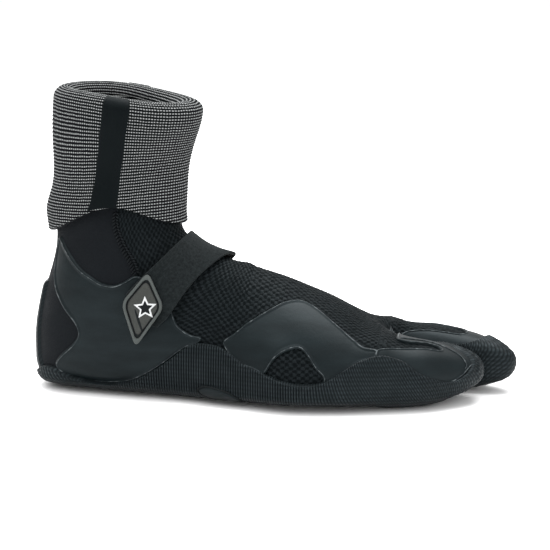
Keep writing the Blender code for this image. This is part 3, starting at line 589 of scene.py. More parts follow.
def grid_piece(name, points, chart, paint, nodes=(), body="boot", wrap=False, flip=False, period=0.0,
               ride=True):
    """Piece from a grid of points (rows, columns, 3); chart is (rows, columns, 2) in mm."""
    rows, columns = points.shape[:2]
    quads, corners = grid_quads(rows, columns, wrap)
    if wrap:
        chart = np.concatenate([chart, chart[:, :1] + np.array([period, 0.0])], 1)
    uv = chart[corners[..., 0], corners[..., 1]]
    if flip:
        quads, uv = quads[:, ::-1], uv[:, ::-1]
    return piece(name, points.reshape(-1, 3), quads.tolist(), uv.reshape(-1, 2), paint, nodes, body, ride)


def spread(loop, step, closed=True):
    """Smooth line through the given points (centripetal Catmull-Rom), resampled evenly."""
    p = np.array(loop, float)
    count = len(p)
    dense = []
    spans = range(count if closed else count - 1)
    for k in spans:
        ids = [(k - 1) % count, k, (k + 1) % count, (k + 2) % count] if closed else \
            [max(k - 1, 0), k, k + 1, min(k + 2, count - 1)]
        a, b, c, d = (p[i] for i in ids)
        ab, bc, cd = (max(np.linalg.norm(y - x), 1e-6) ** 0.5 for x, y in ((a, b), (b, c), (c, d)))
        m1 = (c - b) + bc * ((b - a) / ab - (c - a) / (ab + bc))
        m2 = (c - b) + bc * ((d - c) / cd - (d - b) / (bc + cd))
        t = np.linspace(0, 1, 24, endpoint=False)[:, None]
        dense.append(hermite(t, 1, b, c, m1, m2))
    dense = np.concatenate(dense + ([p[:1]] if closed else [p[-1:]]))
    along = np.concatenate([[0], np.cumsum(np.linalg.norm(np.diff(dense, axis=0), axis=1))])
    number = max(4, round(along[-1] / step))
    where = np.linspace(0, along[-1], number, endpoint=not closed)
    return np.stack([np.interp(where, along, dense[:, k]) for k in range(p.shape[1])], -1)


def inside(points, loop):
    hit = np.zeros(len(points), bool)
    for (ax, ay), (bx, by) in zip(loop, np.roll(loop, -1, axis=0)):
        crossing = (ay > points[:, 1]) != (by > points[:, 1])
        hit ^= crossing & (points[:, 0] < ax + (points[:, 1] - ay) * (bx - ax) / (by - ay + 1e-12))
    return hit


def clearance(points, loop):
    best = np.full(len(points), 1e9)
    for a, b in zip(loop, np.roll(loop, -1, axis=0)):
        t = np.clip(((points - a) @ (b - a)) / max((b - a) @ (b - a), 1e-9), 0, 1)
        best = np.minimum(best, np.linalg.norm(points - a - t[:, None] * (b - a), axis=1))
    return best


def inset(loop, distance):
    """The loop moved inwards, without the points that would come too close to another part of it."""
    ahead = np.roll(loop, -1, axis=0)
    along = ahead - np.roll(loop, 1, axis=0)
    normal = np.stack([-along[:, 1], along[:, 0]], -1) / np.linalg.norm(along, axis=1)[:, None]
    area = np.sum(loop[:, 0] * ahead[:, 1] - ahead[:, 0] * loop[:, 1])
    moved = loop + normal * math.copysign(distance, area)
    return moved[inside(moved, loop) & (clearance(moved, loop) > 0.8 * distance)]


EDGE_RINGS = (0.25, 0.55, 0.9, 1.3, 1.7, 2.2, 2.9)


def fill(loop, step):
    """Triangles over a loop, fine along its edge. Returns chart points, triangles, distance from the edge."""
    low, high = np.floor(loop.min(0) / step), np.ceil(loop.max(0) / step)
    i, j = np.meshgrid(np.arange(low[0], high[0] + 1), np.arange(low[1], high[1] + 1), indexing="ij")
    field = np.stack([i * step, (j + 0.5 * (i % 2)) * step], -1).reshape(-1, 2)
    field = field[inside(field, loop)]
    field = field[clearance(field, loop) > EDGE_RINGS[-1] + 0.4 * step]
    every = np.concatenate([loop, *(inset(loop, ring) for ring in EDGE_RINGS), field])
    spots, _, cells, *_ = delaunay_2d_cdt([Vector(p) for p in every], [], [list(range(len(loop)))], 1, 1e-5)
    spots = np.array([tuple(v) for v in spots])
    return spots, np.array([tuple(c) for c in cells]), clearance(spots, loop)


FILM_ROOT = -0.2           # level of a film's edge, just below the neoprene's face


def film_edge(d, top):
    """Level of a glued film at distance d from its edge: a rounded edge, then a welded bead and groove."""
    edge = FILM_ROOT + (top - FILM_ROOT) * rounded(d / 0.7)
    return edge + 0.32 * hump(d, 1.5, 0.38) - 0.16 * hump(d, 2.4, 0.4)


def panel(name, loop, top, paint, nodes, point, step=2.2, edge=film_edge, body="boot"):
    """Panel over a smooth closed chart loop (mm, mm). point maps chart positions and a level to 3-D."""
    spots, cells, depth = fill(loop, step)
    outer, inner = point(spots, edge(depth, top)), point(spots, np.full(len(spots), -0.35))
    count = len(spots)
    a, b, c = outer[cells[:, 0]], outer[cells[:, 1]], outer[cells[:, 2]]
    away = np.cross(b - a, c - a).sum(0) @ (outer - inner).sum(0) > 0
    if not away:
        cells = cells[:, ::-1]
    edges = dict.fromkeys((t[k], t[(k + 1) % 3]) for t in cells.tolist() for k in range(3))
    rim = [e for e in edges if (e[1], e[0]) not in edges]
    faces = cells.tolist() + (cells[:, ::-1] + count).tolist()
    faces += [[b, a, a + count, b + count] for a, b in rim]
    flat = np.concatenate([spots, spots])
    uv = np.concatenate([flat[f] for f in faces])
    piece(name, np.concatenate([outer, inner]), faces, uv, paint, nodes, body)


def bead(name, loop, height, radius, paint, point):
    """Thin round line on a surface, along a closed loop in the chart."""
    closed = np.concatenate([loop, loop[:1]])
    tubes(name, [point(closed, np.full(len(closed), height))], radius, paint)


def on_body(spots, height):
    return body_point(spots[:, 0], spots[:, 1] / RADIUS, height)


def charted(line, side):
    """Chart points in mm of a line given as (station, degrees)."""
    return [(s, side * math.radians(d) * RADIUS) for s, d in line]


# ---- neoprene sock
def creases(s, y):
    """Soft waves of worn neoprene, in mm."""
    return (0.35 * np.sin(s / 7.3 + 0.9 * np.sin(y / 11.0)) * np.sin(y / 13.0 + 1.3)
            + 0.22 * np.sin(s / 4.1 - y / 9.0 + 0.7))


def ankle_panels():
    """Jersey neoprene of the shaft's sides, the heel and the ankle."""
    front = curve([(s, math.radians(d - 1.0)) for s, d in FRONT_SEAM])
    s = np.linspace(STATION_TOP, 172, 150)[:, None]
    w = np.linspace(0, 1, 84)[None, :]
    for side, name in SIDES:
        phi = side * (front(s) * (1 - w) + PI * w)
        chart = pairs(s, phi * RADIUS)
        calm = ease(s, 60, 75) * ease(-s, -134, -110) * ease(w, 0, 0.1) * ease(-w, -1, -0.85)
        outer = body_point(s, phi, calm * creases(s, phi * RADIUS))
        grid_piece("ankle_neoprene_" + name, outer, chart, "neoprene", ["ankle_panel_" + name], flip=side > 0)


def cells(a, b, height):
    """Staggered cells of the mesh with sunk middles, in mm."""
    raised = np.sin(PI * a / MESH_PITCH[0]) * np.cos(2 * PI * b / MESH_PITCH[1])
    return height * (ease(raised, -0.5, 0.5) - 0.5)


FAN_PACE = 0.7


def paced(s):
    """Way along the instep in mm: stations lie closer together where they fan out round the ankle."""
    fan = np.clip(s, S_BEND, S_FOOT) - S_BEND
    return np.minimum(s, S_BEND) + FAN_PACE * fan + np.maximum(s - S_FOOT, 0)


# runs on under the neighbouring panels
MESH_EDGE = [(STATION_TOP, 86), (50, 83), (72, 79), (86, 70), (103, 59), (114, 56), (135, 57), (160, 66),
             (173, 80), (184, 80), (201, 77), (221, 84), (240, 93), (262, 96), (276, 90), (290, 77), (303, 70)]


def instep_mesh():
    """Mesh-faced neoprene over the instep, from the front of the shaft to the toes."""
    edge = curve(MESH_EDGE)
    upper = np.linspace(STATION_TOP, 62, 24, endpoint=False)
    s = np.concatenate([upper, np.linspace(62, 303, 400)])[:, None]
    w = np.linspace(-1, 1, 236)[None, :]
    phi = w * np.radians(edge(s))
    y = phi * RADIUS
    height = cells(paced(s), y, 0.4) * ease(s, 63, 70) + 0.12 * np.sin(s / 6.0 + y / 14.0)
    outer = body_point(s, phi, height)
    grid_piece("instep_mesh", outer, pairs(paced(s), y), "mesh", ["instep_mesh_panel"])


def lining_sleeve():
    """Striped knit lining inside the shaft, the foot and under the sole."""
    s = np.linspace(STATION_TOP + 1, 298, 170)[:, None]
    phi = np.linspace(-PI, PI, 120, endpoint=False)[None, :] + 0 * s
    grid_piece("knit_lining_sleeve", body_point(s, phi, -3.0 + 0 * phi), pairs(phi * RADIUS, s),
               "lining", ["sock_bottom"], wrap=True, flip=True, period=2 * PI * RADIUS)


TOE_RADIUS = 21            # turns chart angles round a toe into millimetres


def toe_socks():
    """The two toe pockets, mesh-faced like the instep."""
    for side, name, (start, length) in ((LATERAL, "small_toes", SMALL_CAP), (MEDIAL, "big_toe", BIG_CAP)):
        u = np.linspace(177, start + length - 0.8, 96)[:, None]
        phi = np.linspace(-PI, PI, 200, endpoint=False)[None, :] + 0 * u
        y = phi * TOE_RADIUS
        outer = toe_point(side, u, phi, cells(u, y, 0.45))
        grid_piece(name + "_sock", outer, pairs(u, y), "mesh", [name + "_pocket"], wrap=True,
                   period=2 * PI * TOE_RADIUS)


def insole():
    """Foam footbed with a rounded edge."""
    x = np.concatenate([-9 + 8 * np.sin(np.linspace(-PI / 2, 0, 12)), np.linspace(0, 171, 90)[1:]])
    middle = (HALF_MEDIAL(S_FOOT + x - BEND_X) - HALF_LATERAL(S_FOOT + x - BEND_X)) / 2 * (x > 40)
    origin = np.stack([x, middle, np.full_like(x, 10.1)], -1)
    sides = [cast(origin, np.array([0.0, side, 0.0]) + 0 * origin, -6.0) for side in (LATERAL, MEDIAL)]
    turn = np.linspace(-PI / 2, PI / 2, 41)
    across = (np.sin(turn) + 1) / 2
    points = sides[0][:, None] * (1 - across[None, :, None]) + sides[1][:, None] * across[None, :, None]
    points[..., 2] = 10.2 + 1.7 * np.abs(np.cos(turn)) ** 0.35
    grid_piece("foam_insole", points, points[..., :2], "foam", ["footbed"])


# ---- rubber film panels
FILM_TOP, OUTLINE_STEP = 1.35, 0.9
WELD_INSET, WELD_TOP, WELD_RADIUS = 1.1, 1.55, 0.27
RAND_COVER = 3.0           # degrees that a film runs on under the rand's upper edge


def glued_film(pattern, line, node, point, step=2.2):
    """Film inside a chart line, with a weld line just inside its edge."""
    loop = spread(line, OUTLINE_STEP)
    panel(pattern.format("film"), loop, FILM_TOP, "film", [node], point, step)
    bead(pattern.format("weld"), inset(loop, WELD_INSET), WELD_TOP, WELD_RADIUS, "weld", point)


def under_rand(low, high):
    return [(s, d + RAND_COVER) for s, d in RAND_TOP if low < s < high]


def quarter_films():
    """Film round the heel and the ankle."""
    line = QUARTER_TOP + under_rand(135, 190)[::-1] + QUARTER_REAR
    for side, name in SIDES:
        glued_film("quarter_{}_" + name, charted(line, side), "quarter_overlay_" + name, on_body)


def forefoot_films():
    """Film along the forefoot, round its window of mesh."""
    rear, front = under_rand(205, 235), under_rand(270, math.inf)
    line = FOREFOOT_TOP + front[::-1] + [(266, 96)] + WINDOW + [(232, 92)] + rear[::-1]
    for side, name in SIDES:
        glued_film("forefoot_{}_" + name, charted(line, side), "forefoot_overlay_" + name, on_body)


TIPS = {LATERAL: SMALL_CAP[0] + SMALL_CAP[1], MEDIAL: BIG_CAP[0] + BIG_CAP[1]}


def on_toe(side):
    """Maps a flat chart round a toe's tip (distance back from the tip along each direction) to the toe."""
    def at(spots, height):
        back, phi = np.hypot(spots[:, 0], spots[:, 1]), np.arctan2(spots[:, 1], spots[:, 0])
        return toe_point(side, TIPS[side] - back, phi, height)
    return at


def toe_chart(side, line):
    return [((TIPS[side] - u) * math.cos(math.radians(d)), (TIPS[side] - u) * math.sin(math.radians(d)))
            for u, d in line]


# (distance along the toe as in toe_point, degrees round it)
SMALL_FILM = [(176, -74), (177, -52), (183, -46), (190, -41), (200, -34), (208, -27), (213, -18), (212, -9),
              (206, -8), (199, -12), (192, -17), (188, -16), (186.5, -8), (186, 12), (185, 40), (185, 70),
              (196, 84), (210, 84), (221, 70), (230, 30), (231, -20), (230.5, -60), (228.5, -92), (221, -105),
              (208, -103), (196, -94), (184, -84)]
BIG_FILM = [(183, -80), (184, -50), (187, -38), (193, -33), (200, -31), (211, -29), (221, -24), (224, -10),
            (222, 10), (214, 24), (200, 30), (186, 32), (177, 38), (176, 52), (177, 84), (200, 92), (222, 90),
            (238, 60), (243, 0), (238, -60), (222, -88), (200, -90)]
CLEFT_WELD = [(189, -4), (196, 4), (206, 8), (215, 8), (223, 0), (228, -22), (228.5, -50)]


def toe_films():
    """Film over the toes, with a finger of mesh left open on each."""
    for side, name, outline in ((LATERAL, "small_toes", SMALL_FILM), (MEDIAL, "big_toe", BIG_FILM)):
        glued_film(name + "_{}", toe_chart(side, outline), name + "_overlay", on_toe(side), 2.4)
    line = spread(CLEFT_WELD, 1.2, closed=False)
    path = toe_point(LATERAL, line[:, 0], np.radians(line[:, 1]), 1.6)
    tubes("cleft_weld", [path], 0.3, "weld")


def arch_pads():
    def dome(d, top):
        return SOLE_SIDE + 0.4 + (top - SOLE_SIDE - 0.4) * ease(d, 0, 1.6) + 0.4 * ease(d, 2, 6)

    for side, name in SIDES:
        loop = spread(charted(ARCH_PAD, side), 0.7)
        panel("arch_oval_" + name, loop, SOLE_SIDE + 2.0, "sole", ["arch_pad_" + name], on_body, edge=dome)
        # black tube round each pad: painted shade of the groove along its rim
        bead("arch_groove_shade_" + name, loop, SOLE_SIDE + 1.5, 0.35, "black", on_body)


# ---- ribbed rand and tread
HEEL_CENTRE, HEEL_ARC, SPINE_Z = 15.0, 48.0, 18.0
CLEFT_ROOT = 179.0
SOLE_CORNER, SOLE_LIFT = math.radians(-52), 0.35   # where the wall turns into the underside


class Wall:
    """The side wall of one half of the sole: w runs in mm from the back of the heel round to the cleft."""

    def __init__(self, side):
        self.side = side
        self.shape, (self.start, self.length) = (SMALL, SMALL_CAP) if side < 0 else (BIG, BIG_CAP)
        self.tip_w = HEEL_ARC + self.start - HEEL_CENTRE
        self.tip_arc = 68.0 if side < 0 else 62.0
        self.end = self.tip_w + self.tip_arc + self.start - CLEFT_ROOT
        self.pocket = pocket_level(side)

    def spine(self, w):
        """Origin (x, y) and heading (x, y) of the level rays at w."""
        heel = np.clip(w / HEEL_ARC, 0, 1) * PI / 2
        tip = np.clip((w - self.tip_w) / self.tip_arc, 0, 1) * PI
        past = np.maximum(w - self.tip_w - self.tip_arc, 0)
        x = np.clip(HEEL_CENTRE + w - HEEL_ARC, HEEL_CENTRE, self.start) - past
        y = self.shape[0](np.maximum(x, 165)) * ease(x, 105, 180)
        return x, y, -np.cos(heel) + np.sin(tip), self.side * np.sin(heel) * np.cos(tip)

    def field(self, p):
        """Level measured from the sole rubber's outer face."""
        share = ease(p[..., 0], CLEFT_ROOT - 12, CLEFT_ROOT + 4)
        low = SOLE_SIDE + (SOLE_UNDER + 0.4 - SOLE_SIDE) * ease(-p[..., 2], -15.0, -3.0)
        return level(p) * (1 - share) + self.pocket(p) * share - low

    def drop(self, origin):
        """Points straight below on the sole's outer face, and never below the ground."""
        met = cast(origin, np.array([0.0, 0.0, -1.0]) + 0 * origin, 0.0, self.field, 60.0)
        met[..., 2] = np.maximum(met[..., 2], 0.0)
        return met

    def point(self, w, tilt, gap, under=0.0):
        """Point at w where the ray tilted up by tilt meets the sole's outer level plus gap."""
        w, tilt = np.broadcast_arrays(w, tilt)
        x, y, hx, hy = self.spine(w)
        origin = np.stack([x, y, np.full_like(x, SPINE_Z)], -1)
        direction = np.stack([np.cos(tilt) * hx, np.cos(tilt) * hy, np.sin(tilt)], -1)
        met = cast(origin, direction, gap, self.field, 150.0)
        share = np.where(met[..., 2] < under, (SPINE_Z - under) / np.maximum(SPINE_Z - met[..., 2], 1e-6), 1)
        return origin + (met - origin) * share[..., None]

    def top_line(self):
        """Tilt of the rand's upper edge as a function of w."""
        keys = []
        for s, d in RAND_TOP:
            if s > 292:
                continue
            x, y, z = body_point(s, self.side * math.radians(min(d, 179.9)), 2.5)
            if x < HEEL_CENTRE:
                turn = math.atan2(abs(y), HEEL_CENTRE - x)
                w, flat = turn / (PI / 2) * HEEL_ARC, math.hypot(x - HEEL_CENTRE, y)
            else:
                w, flat = HEEL_ARC + x - HEEL_CENTRE, abs(y - self.spine(HEEL_ARC + x - HEEL_CENTRE)[1])
            keys.append((w, math.atan2(z - SPINE_Z, flat)))
        keys = sorted(keys)
        keys = [k for n, k in enumerate(keys) if n == 0 or k[0] - keys[n - 1][0] > 0.5]
        along, round_tip = SMALL_RAND if self.side < 0 else BIG_RAND
        keys = [k for k in keys if k[0] < HEEL_ARC + along[0][0] - HEEL_CENTRE - 3]
        keys += [(HEEL_ARC + x - HEEL_CENTRE, math.radians(tilt)) for x, tilt in along]
        keys += [(self.tip_w + self.tip_arc * d / 180, math.radians(tilt)) for d, tilt in round_tip]
        keys.append((self.end, math.radians(round_tip[-1][1])))
        return curve(keys)


# upper edge of the rand on the toes: (x, tilt in degrees), then (degrees round the tip, tilt)
SMALL_RAND = ([(184, 36), (194, 30), (201, 17)],
              [(22, 4), (45, -2), (70, 2), (88, 12), (105, 30), (130, 42), (179, 42)])
BIG_RAND = ([(190, 20), (205, 6), (218, 2)], [(30, 6), (60, 28), (85, 44), (110, 48), (140, 46), (179, 42)])


def rib_phase(w, z, x):
    return (w + 0.55 * ease(x, 130, 180) * (z - 20)) / RIB_PITCH


def rand_ribs(w, z, x):
    """Fine upright ribs that lean forward on the toes and fade into a smooth band near the ground."""
    phase = rib_phase(w, z, x)
    knots = 1 - 0.45 * swell(z / BEAD_PITCH + 0.5 * np.floor(phase))
    return 0.9 * swell(phase) ** 0.7 * knots * ease(z, 4.0, 9.0)


def rand_walls():
    """Ribbed rand of each half of the sole, from its rolled upper edge to just under the foot."""
    nodes = {LATERAL: ["small_toes_rand"], MEDIAL: ["big_toe_rand"]}
    for side, name in SIDES:
        wall = Wall(side)
        top = wall.top_line()
        w = np.arange(0, wall.end, 0.31)[None, :]
        high = top(w)
        share = np.concatenate([np.linspace(0, 0.03, 4), np.linspace(0.045, 1, 44)])[:, None]
        tilt = high + (SOLE_CORNER - high) * share
        base = wall.point(w, tilt, 0.0 * tilt, SOLE_LIFT)
        roll = np.sqrt(np.clip(share / 0.03, 0, 1))
        ribs = rand_ribs(w, base[..., 2], base[..., 0])
        gap = -3.6 + 3.6 * roll - 0.35 * roll + roll * ribs
        points = wall.point(w, tilt, gap, SOLE_LIFT)
        chart = pairs(rib_phase(w, base[..., 2], base[..., 0]) * RIB_PITCH, base[..., 2])
        grid_piece("ribbed_rand_" + name, points, chart, "ribs", nodes[side], flip=side > 0)


def tread():
    """Underside of the sole with wavy siping, from the rand's lower edge to the foot's middle."""
    for side, name in SIDES:
        wall = Wall(side)
        w = np.arange(0, wall.end, 0.6)[None, :]
        t = np.linspace(0, 1, 34)[:, None]
        rim = wall.point(w, np.full_like(w, SOLE_CORNER), 0 * w, SOLE_LIFT)
        x, y, _, _ = wall.spine(w)
        own = np.where(w > wall.tip_w, 1.0, ease(x, 176, 180))
        core = CLEFT_Y * ease(x, 100, 170) * (1 - own) + y * own
        px, py = rim[..., 0] * (1 - t) + x * t, rim[..., 1] * (1 - t) + core * t
        origin = np.stack([px, py, np.full_like(px, SPINE_Z)], -1)
        points = wall.drop(origin)
        cut = 0.9 * hump(((px + 2.2 * np.sin(py / 5.0)) / 6.0) % 1.0, 0.5, 0.085)
        points[..., 2] += SOLE_LIFT * (1 - ease(t, 0, 0.04)) + cut * ease(t, 0.05, 0.1)
        grid_piece("siped_tread_" + name, points, points[..., :2], "sole", ["outsole"], flip=side > 0)


def heel_rib_strip():
    """Ribbed rubber strip up the back of the heel."""
    top, bottom, half = HEEL_STRIP
    s = np.linspace(top - 1.0, bottom + 8.0, 140)[:, None]
    a = np.linspace(-1, 1, 40)[None, :]
    phi = PI + np.radians(half) * a
    inward = np.minimum((1 - np.abs(a)) * half * MM_PER_DEGREE, s - top + 1.0)
    chevron = s + 0.6 * np.abs(a) * half
    ribs = 0.45 * swell(chevron / RIB_PITCH) * ease(inward, 0.6, 1.6)
    points = body_point(s, phi, -0.3 + 2.5 * rounded(inward / 0.9) + ribs)
    grid_piece("ribbed_heel_strip", points, pairs(chevron, phi * RADIUS), "ribs", ["heel_strip"])


# ---- thread
THREAD_SIDES = 6


def tubes(name, paths, radius, paint, nodes=()):
    """Many short threads joined into one piece: each path is a list of 3-D points."""
    points, faces = [], []
    turn = np.linspace(0, 2 * PI, THREAD_SIDES, endpoint=False)
    for path in paths:
        path = np.asarray(path, float)
        ahead = np.gradient(path, axis=0)
        ahead /= np.linalg.norm(ahead, axis=1)[:, None]
        side = np.cross(ahead, [0.31, 0.27, 0.91])
        side /= np.linalg.norm(side, axis=1)[:, None]
        other = np.cross(ahead, side)
        first = len(points)
        grow = np.full(len(path), radius)
        grow[[0, -1]] = 0.45 * radius
        for p, a, b, r in zip(path, side, other, grow):
            points += [p + r * (math.cos(t) * a + math.sin(t) * b) for t in turn]
        for i in range(len(path) - 1):
            for j in range(THREAD_SIDES):
                k, m = first + i * THREAD_SIDES, (j + 1) % THREAD_SIDES
                faces.append([k + j, k + THREAD_SIDES + j, k + THREAD_SIDES + m, k + m])
        faces.append([first + j for j in range(THREAD_SIDES)])
        last = first + (len(path) - 1) * THREAD_SIDES
        faces.append([last + j for j in reversed(range(THREAD_SIDES))])
    piece(name, points, faces, None, paint, nodes)


def seam_threads():
    """Flatlock seam: chevrons of thread over the joint of the ankle and the instep neoprene."""
    seam = curve(FRONT_SEAM)
    for side, name in SIDES:
        paths = []
        for s in np.arange(64.0, 113.5, 2.4):
            for across in (-1, 1):
                t = np.linspace(0, 1, 5)
                y = side * (np.radians(seam(s)) * RADIUS + across * (0.25 + 2.5 * t))
                lift = 0.45 + 0.5 * np.sin(PI * np.clip(t + 0.1, 0, 1))
                paths.append(body_point(s + 2.2 * t, y / RADIUS, lift))
        tubes("flatlock_seam_" + name, paths, 0.55, "thread", ["seam_stitching_" + name])


# ---- strap
def edge_curves(edge):
    return curve([(v, s) for v, s, _ in edge]), curve([(v, math.radians(d)) for v, _, d in edge])


(UPPER_S, UPPER_PHI), (LOWER_S, LOWER_PHI) = edge_curves(STRAP_UPPER), edge_curves(STRAP_LOWER)


def strap_chart(v, w):
    """Station and angle at share v along the strap and w across it, from the upper edge."""
    return UPPER_S(v) * (1 - w) + LOWER_S(v) * w, UPPER_PHI(v) * (1 - w) + LOWER_PHI(v) * w


def strap_point(v, w, lift):
    """Point on the strap: v and w as in strap_chart, lift over its under side."""
    v, w, lift = np.broadcast_arrays(v, w, lift)
    under = STRAP_LOW + (STRAP_HIGH - STRAP_LOW) * ease(v, 0.55, 0.79)
    arch = 0.8 * hump(v, 0.455, 0.05) * ease(w, 0.6, 1.0)
    return body_point(*strap_chart(v, w), under + lift + arch)


def strap_piece(name, first, last, nodes, bodies, around, ends=(False, False)):
    """Closed length of webbing from share first to share last of the strap's run; it is baked in place and rides
    no body.
    """
    top = np.linspace(0.03, 0.97, 56)
    edge = np.linspace(0, PI, 7)[1:-1]
    bottom = np.linspace(0.97, 0.03, 16)
    w = np.concatenate([top, 0.97 + 0.03 * np.sin(edge), bottom, 0.03 - 0.03 * np.sin(edge)])
    lift = np.concatenate([STRAP_THICK + 0 * top, STRAP_THICK / 2 * (1 + np.cos(edge)), 0 * bottom,
                           STRAP_THICK / 2 * (1 - np.cos(edge))])
    on_top = np.concatenate([np.ones_like(top), 0 * edge, 0 * bottom, 0 * edge])
    v = np.linspace(first, last, round((last - first) * STRAP_RUN / 0.28))[:, None]
    border = ease(np.minimum(w, 1 - w), 0.05, 0.075)
    ribs = 0.11 * np.sin(2 * PI * (v * STRAP_RUN / 1.15 + 4.0 * w)) * np.sin(2 * PI * w * STRAP_WIDE / 1.3)
    raised = lift + on_top * (border * ribs - 0.12 * hump(np.minimum(w, 1 - w), 0.065, 0.012))
    cap = np.ones_like(v)
    if ends[0]:
        cap *= rounded((v - first) * STRAP_RUN / STRAP_END_ROUND)
    if ends[1]:
        cap *= rounded((last - v) * STRAP_RUN / STRAP_END_ROUND)
    raised = STRAP_THICK / 2 + (raised - STRAP_THICK / 2) * cap
    points = strap_point(v, w[None, :], raised)
    chart = pairs(w * STRAP_WIDE, v * STRAP_RUN)
    made = grid_piece(name, points, chart, "webbing", nodes, bodies[0], wrap=True, flip=True, ride=False)
    start, end = (strap_point(around + d, 0.5, STRAP_THICK / 2) * MM for d in (-BEND_REACH, BEND_REACH))
    tuple(start)
    tuple(end)
    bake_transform(made)


def strap():
    """Webbing in three lengths, its stitches and its fastener."""
    anchor, instep, badge_end = STRAP_BENDS
    strap_piece("strap_inner_side", 0.0, 0.30, ["strap_anchor"],
                ("boot", "strap_over_body"), anchor, (True, False))
    strap_piece("strap_instep", 0.30, 0.65, ["strap_over"],
                ("strap_over_body", "strap_side_body"), instep)
    strap_piece("strap_outer_side", 0.65, 1.0, ["strap_side", "strap_end"],
                ("strap_side_body", "strap_tab_body"), badge_end, (False, True))
    anchor_stitches()
    hook_and_loop()


def anchor_stitches():
    """Box with crossed diagonals, sewn through the strap's anchor."""
    start, end = 0.02, 0.085
    box = [(start, 0.1), (start, 0.9), (end, 0.9), (end, 0.1),
           (start, 0.1), (end, 0.9), (start, 0.9), (end, 0.1)]
    stitch = 2.4
    paths = []
    for (va, wa), (vb, wb) in zip(box, box[1:]):
        count = max(2, round(math.hypot((vb - va) * STRAP_RUN, (wb - wa) * STRAP_WIDE) / stitch))
        for k in range(count):
            t = (k + np.linspace(0.1, 0.82, 5)) / count
            lift = STRAP_THICK + 0.05 + 0.3 * np.sin(PI * np.linspace(0, 1, 5))
            paths.append(strap_point(va + (vb - va) * t, wa + (wb - wa) * t, lift))
    tubes("anchor_box_stitch", paths, 0.3, "thread", ["anchor_stitching"])


def hook_and_loop():
    """Facing patches with a pile: hooks under the strap's end, loops on the boot."""
    start, end, near, far = 0.825, 0.985, 0.06, 0.94
    v, w = np.linspace(start, end, 90)[:, None], np.linspace(near, far, 90)[None, :]
    edge = np.minimum(np.minimum(v - start, end - v) * STRAP_RUN, np.minimum(w - near, far - w) * STRAP_WIDE)
    pile = 0.35 * np.abs(np.sin(v * STRAP_RUN * 2.6) * np.sin(w * STRAP_WIDE * 2.6))
    for name, base, outward, node, body in (("hook_patch", 3.9, -1, "hook_pad", "strap_tab_body"),
                                            ("loop_field", 2.7, 1, "loop_patch", "boot")):
        height = base + outward * (pile * ease(edge, 0, 0.8) - 0.5 * (1 - ease(edge, 0, 0.6)))
        points = body_point(*strap_chart(v, w), height)
        grid_piece(name, points, pairs(w * STRAP_WIDE, v * STRAP_RUN), "webbing", [node], body)


# ---- badge
# corners in mm to the right of and above the badge's middle: top, right, bottom, left
BADGE = [(3.0, 22.0), (12.7, 0.4), (-4.4, -23.7), (-12.9, 3.0)]
BADGE_MIDDLE, BADGE_FACING = np.array((39.0, -37.1, 57.4)), np.array((0.141, -0.982, 0.122))
BADGE_BULGE = 2.4


def on_badge(spots, height):
    """Point of the gently domed badge: spots are (right, up) in mm, height is over its under side."""
    right = np.cross((0.0, 0.0, 1.0), BADGE_FACING)
    up = np.cross(BADGE_FACING, right)
    dome = BADGE_BULGE * (1 - np.clip((spots[..., 0] / 13) ** 2 + (spots[..., 1] / 23) ** 2, 0, 1))
    return (BADGE_MIDDLE + spots[..., :1] * right + spots[..., 1:] * up
            + (height - 0.9 + dome)[..., None] * BADGE_FACING)


PER_CORNER, PER_SIDE = 12, 16      # points of a rhombus


def rhombus(shrink, corner):
    """Rounded rhombus with its sides moved in by shrink. Its points match from one shrink to another."""
    tips = [np.array(tip) for tip in BADGE]
    flat = []
    for k, tip in enumerate(tips):
        before, after = tips[k - 1] - tip, tips[(k + 1) % 4] - tip
        before, after = before / np.linalg.norm(before), after / np.linalg.norm(after)
        half = math.acos(before @ after) / 2
        flat.append(tip + (before + after) / np.linalg.norm(before + after) * shrink / math.sin(half))
    loop = []
    for k, tip in enumerate(flat):
        before, after = flat[k - 1], flat[(k + 1) % 4]
        enter = tip + (before - tip) * corner / np.linalg.norm(before - tip)
        leave = tip + (after - tip) * corner / np.linalg.norm(after - tip)
        for t in np.linspace(0, 1, PER_CORNER):
            loop.append(enter * (1 - t) ** 2 + 2 * tip * t * (1 - t) + leave * t ** 2)
        goal = after + (tip - after) * corner / np.linalg.norm(after - tip)
        for t in np.linspace(0, 1, PER_SIDE, endpoint=False)[1:]:
            loop.append(leave * (1 - t) + goal * t)
    return np.array(loop)


def rings(name, profile, paint, nodes):
    """Moulded ring of the badge: profile is a list of (shrink, height over the badge's under side)."""
    chart = np.stack([rhombus(shrink, max(5.0 - 0.3 * shrink, 2.6)) for shrink, _ in profile])
    height = np.array([h for _, h in profile])[:, None] + 0 * chart[..., 0]
    grid_piece(name, on_badge(chart, height), chart, paint, nodes, "strap_tab_body", wrap=True)


def flat_edge(d, top):
    return top + 0 * d


def soft_edge(d, top):
    return top - 0.3 + 0.3 * ease(d, 0, 0.5)


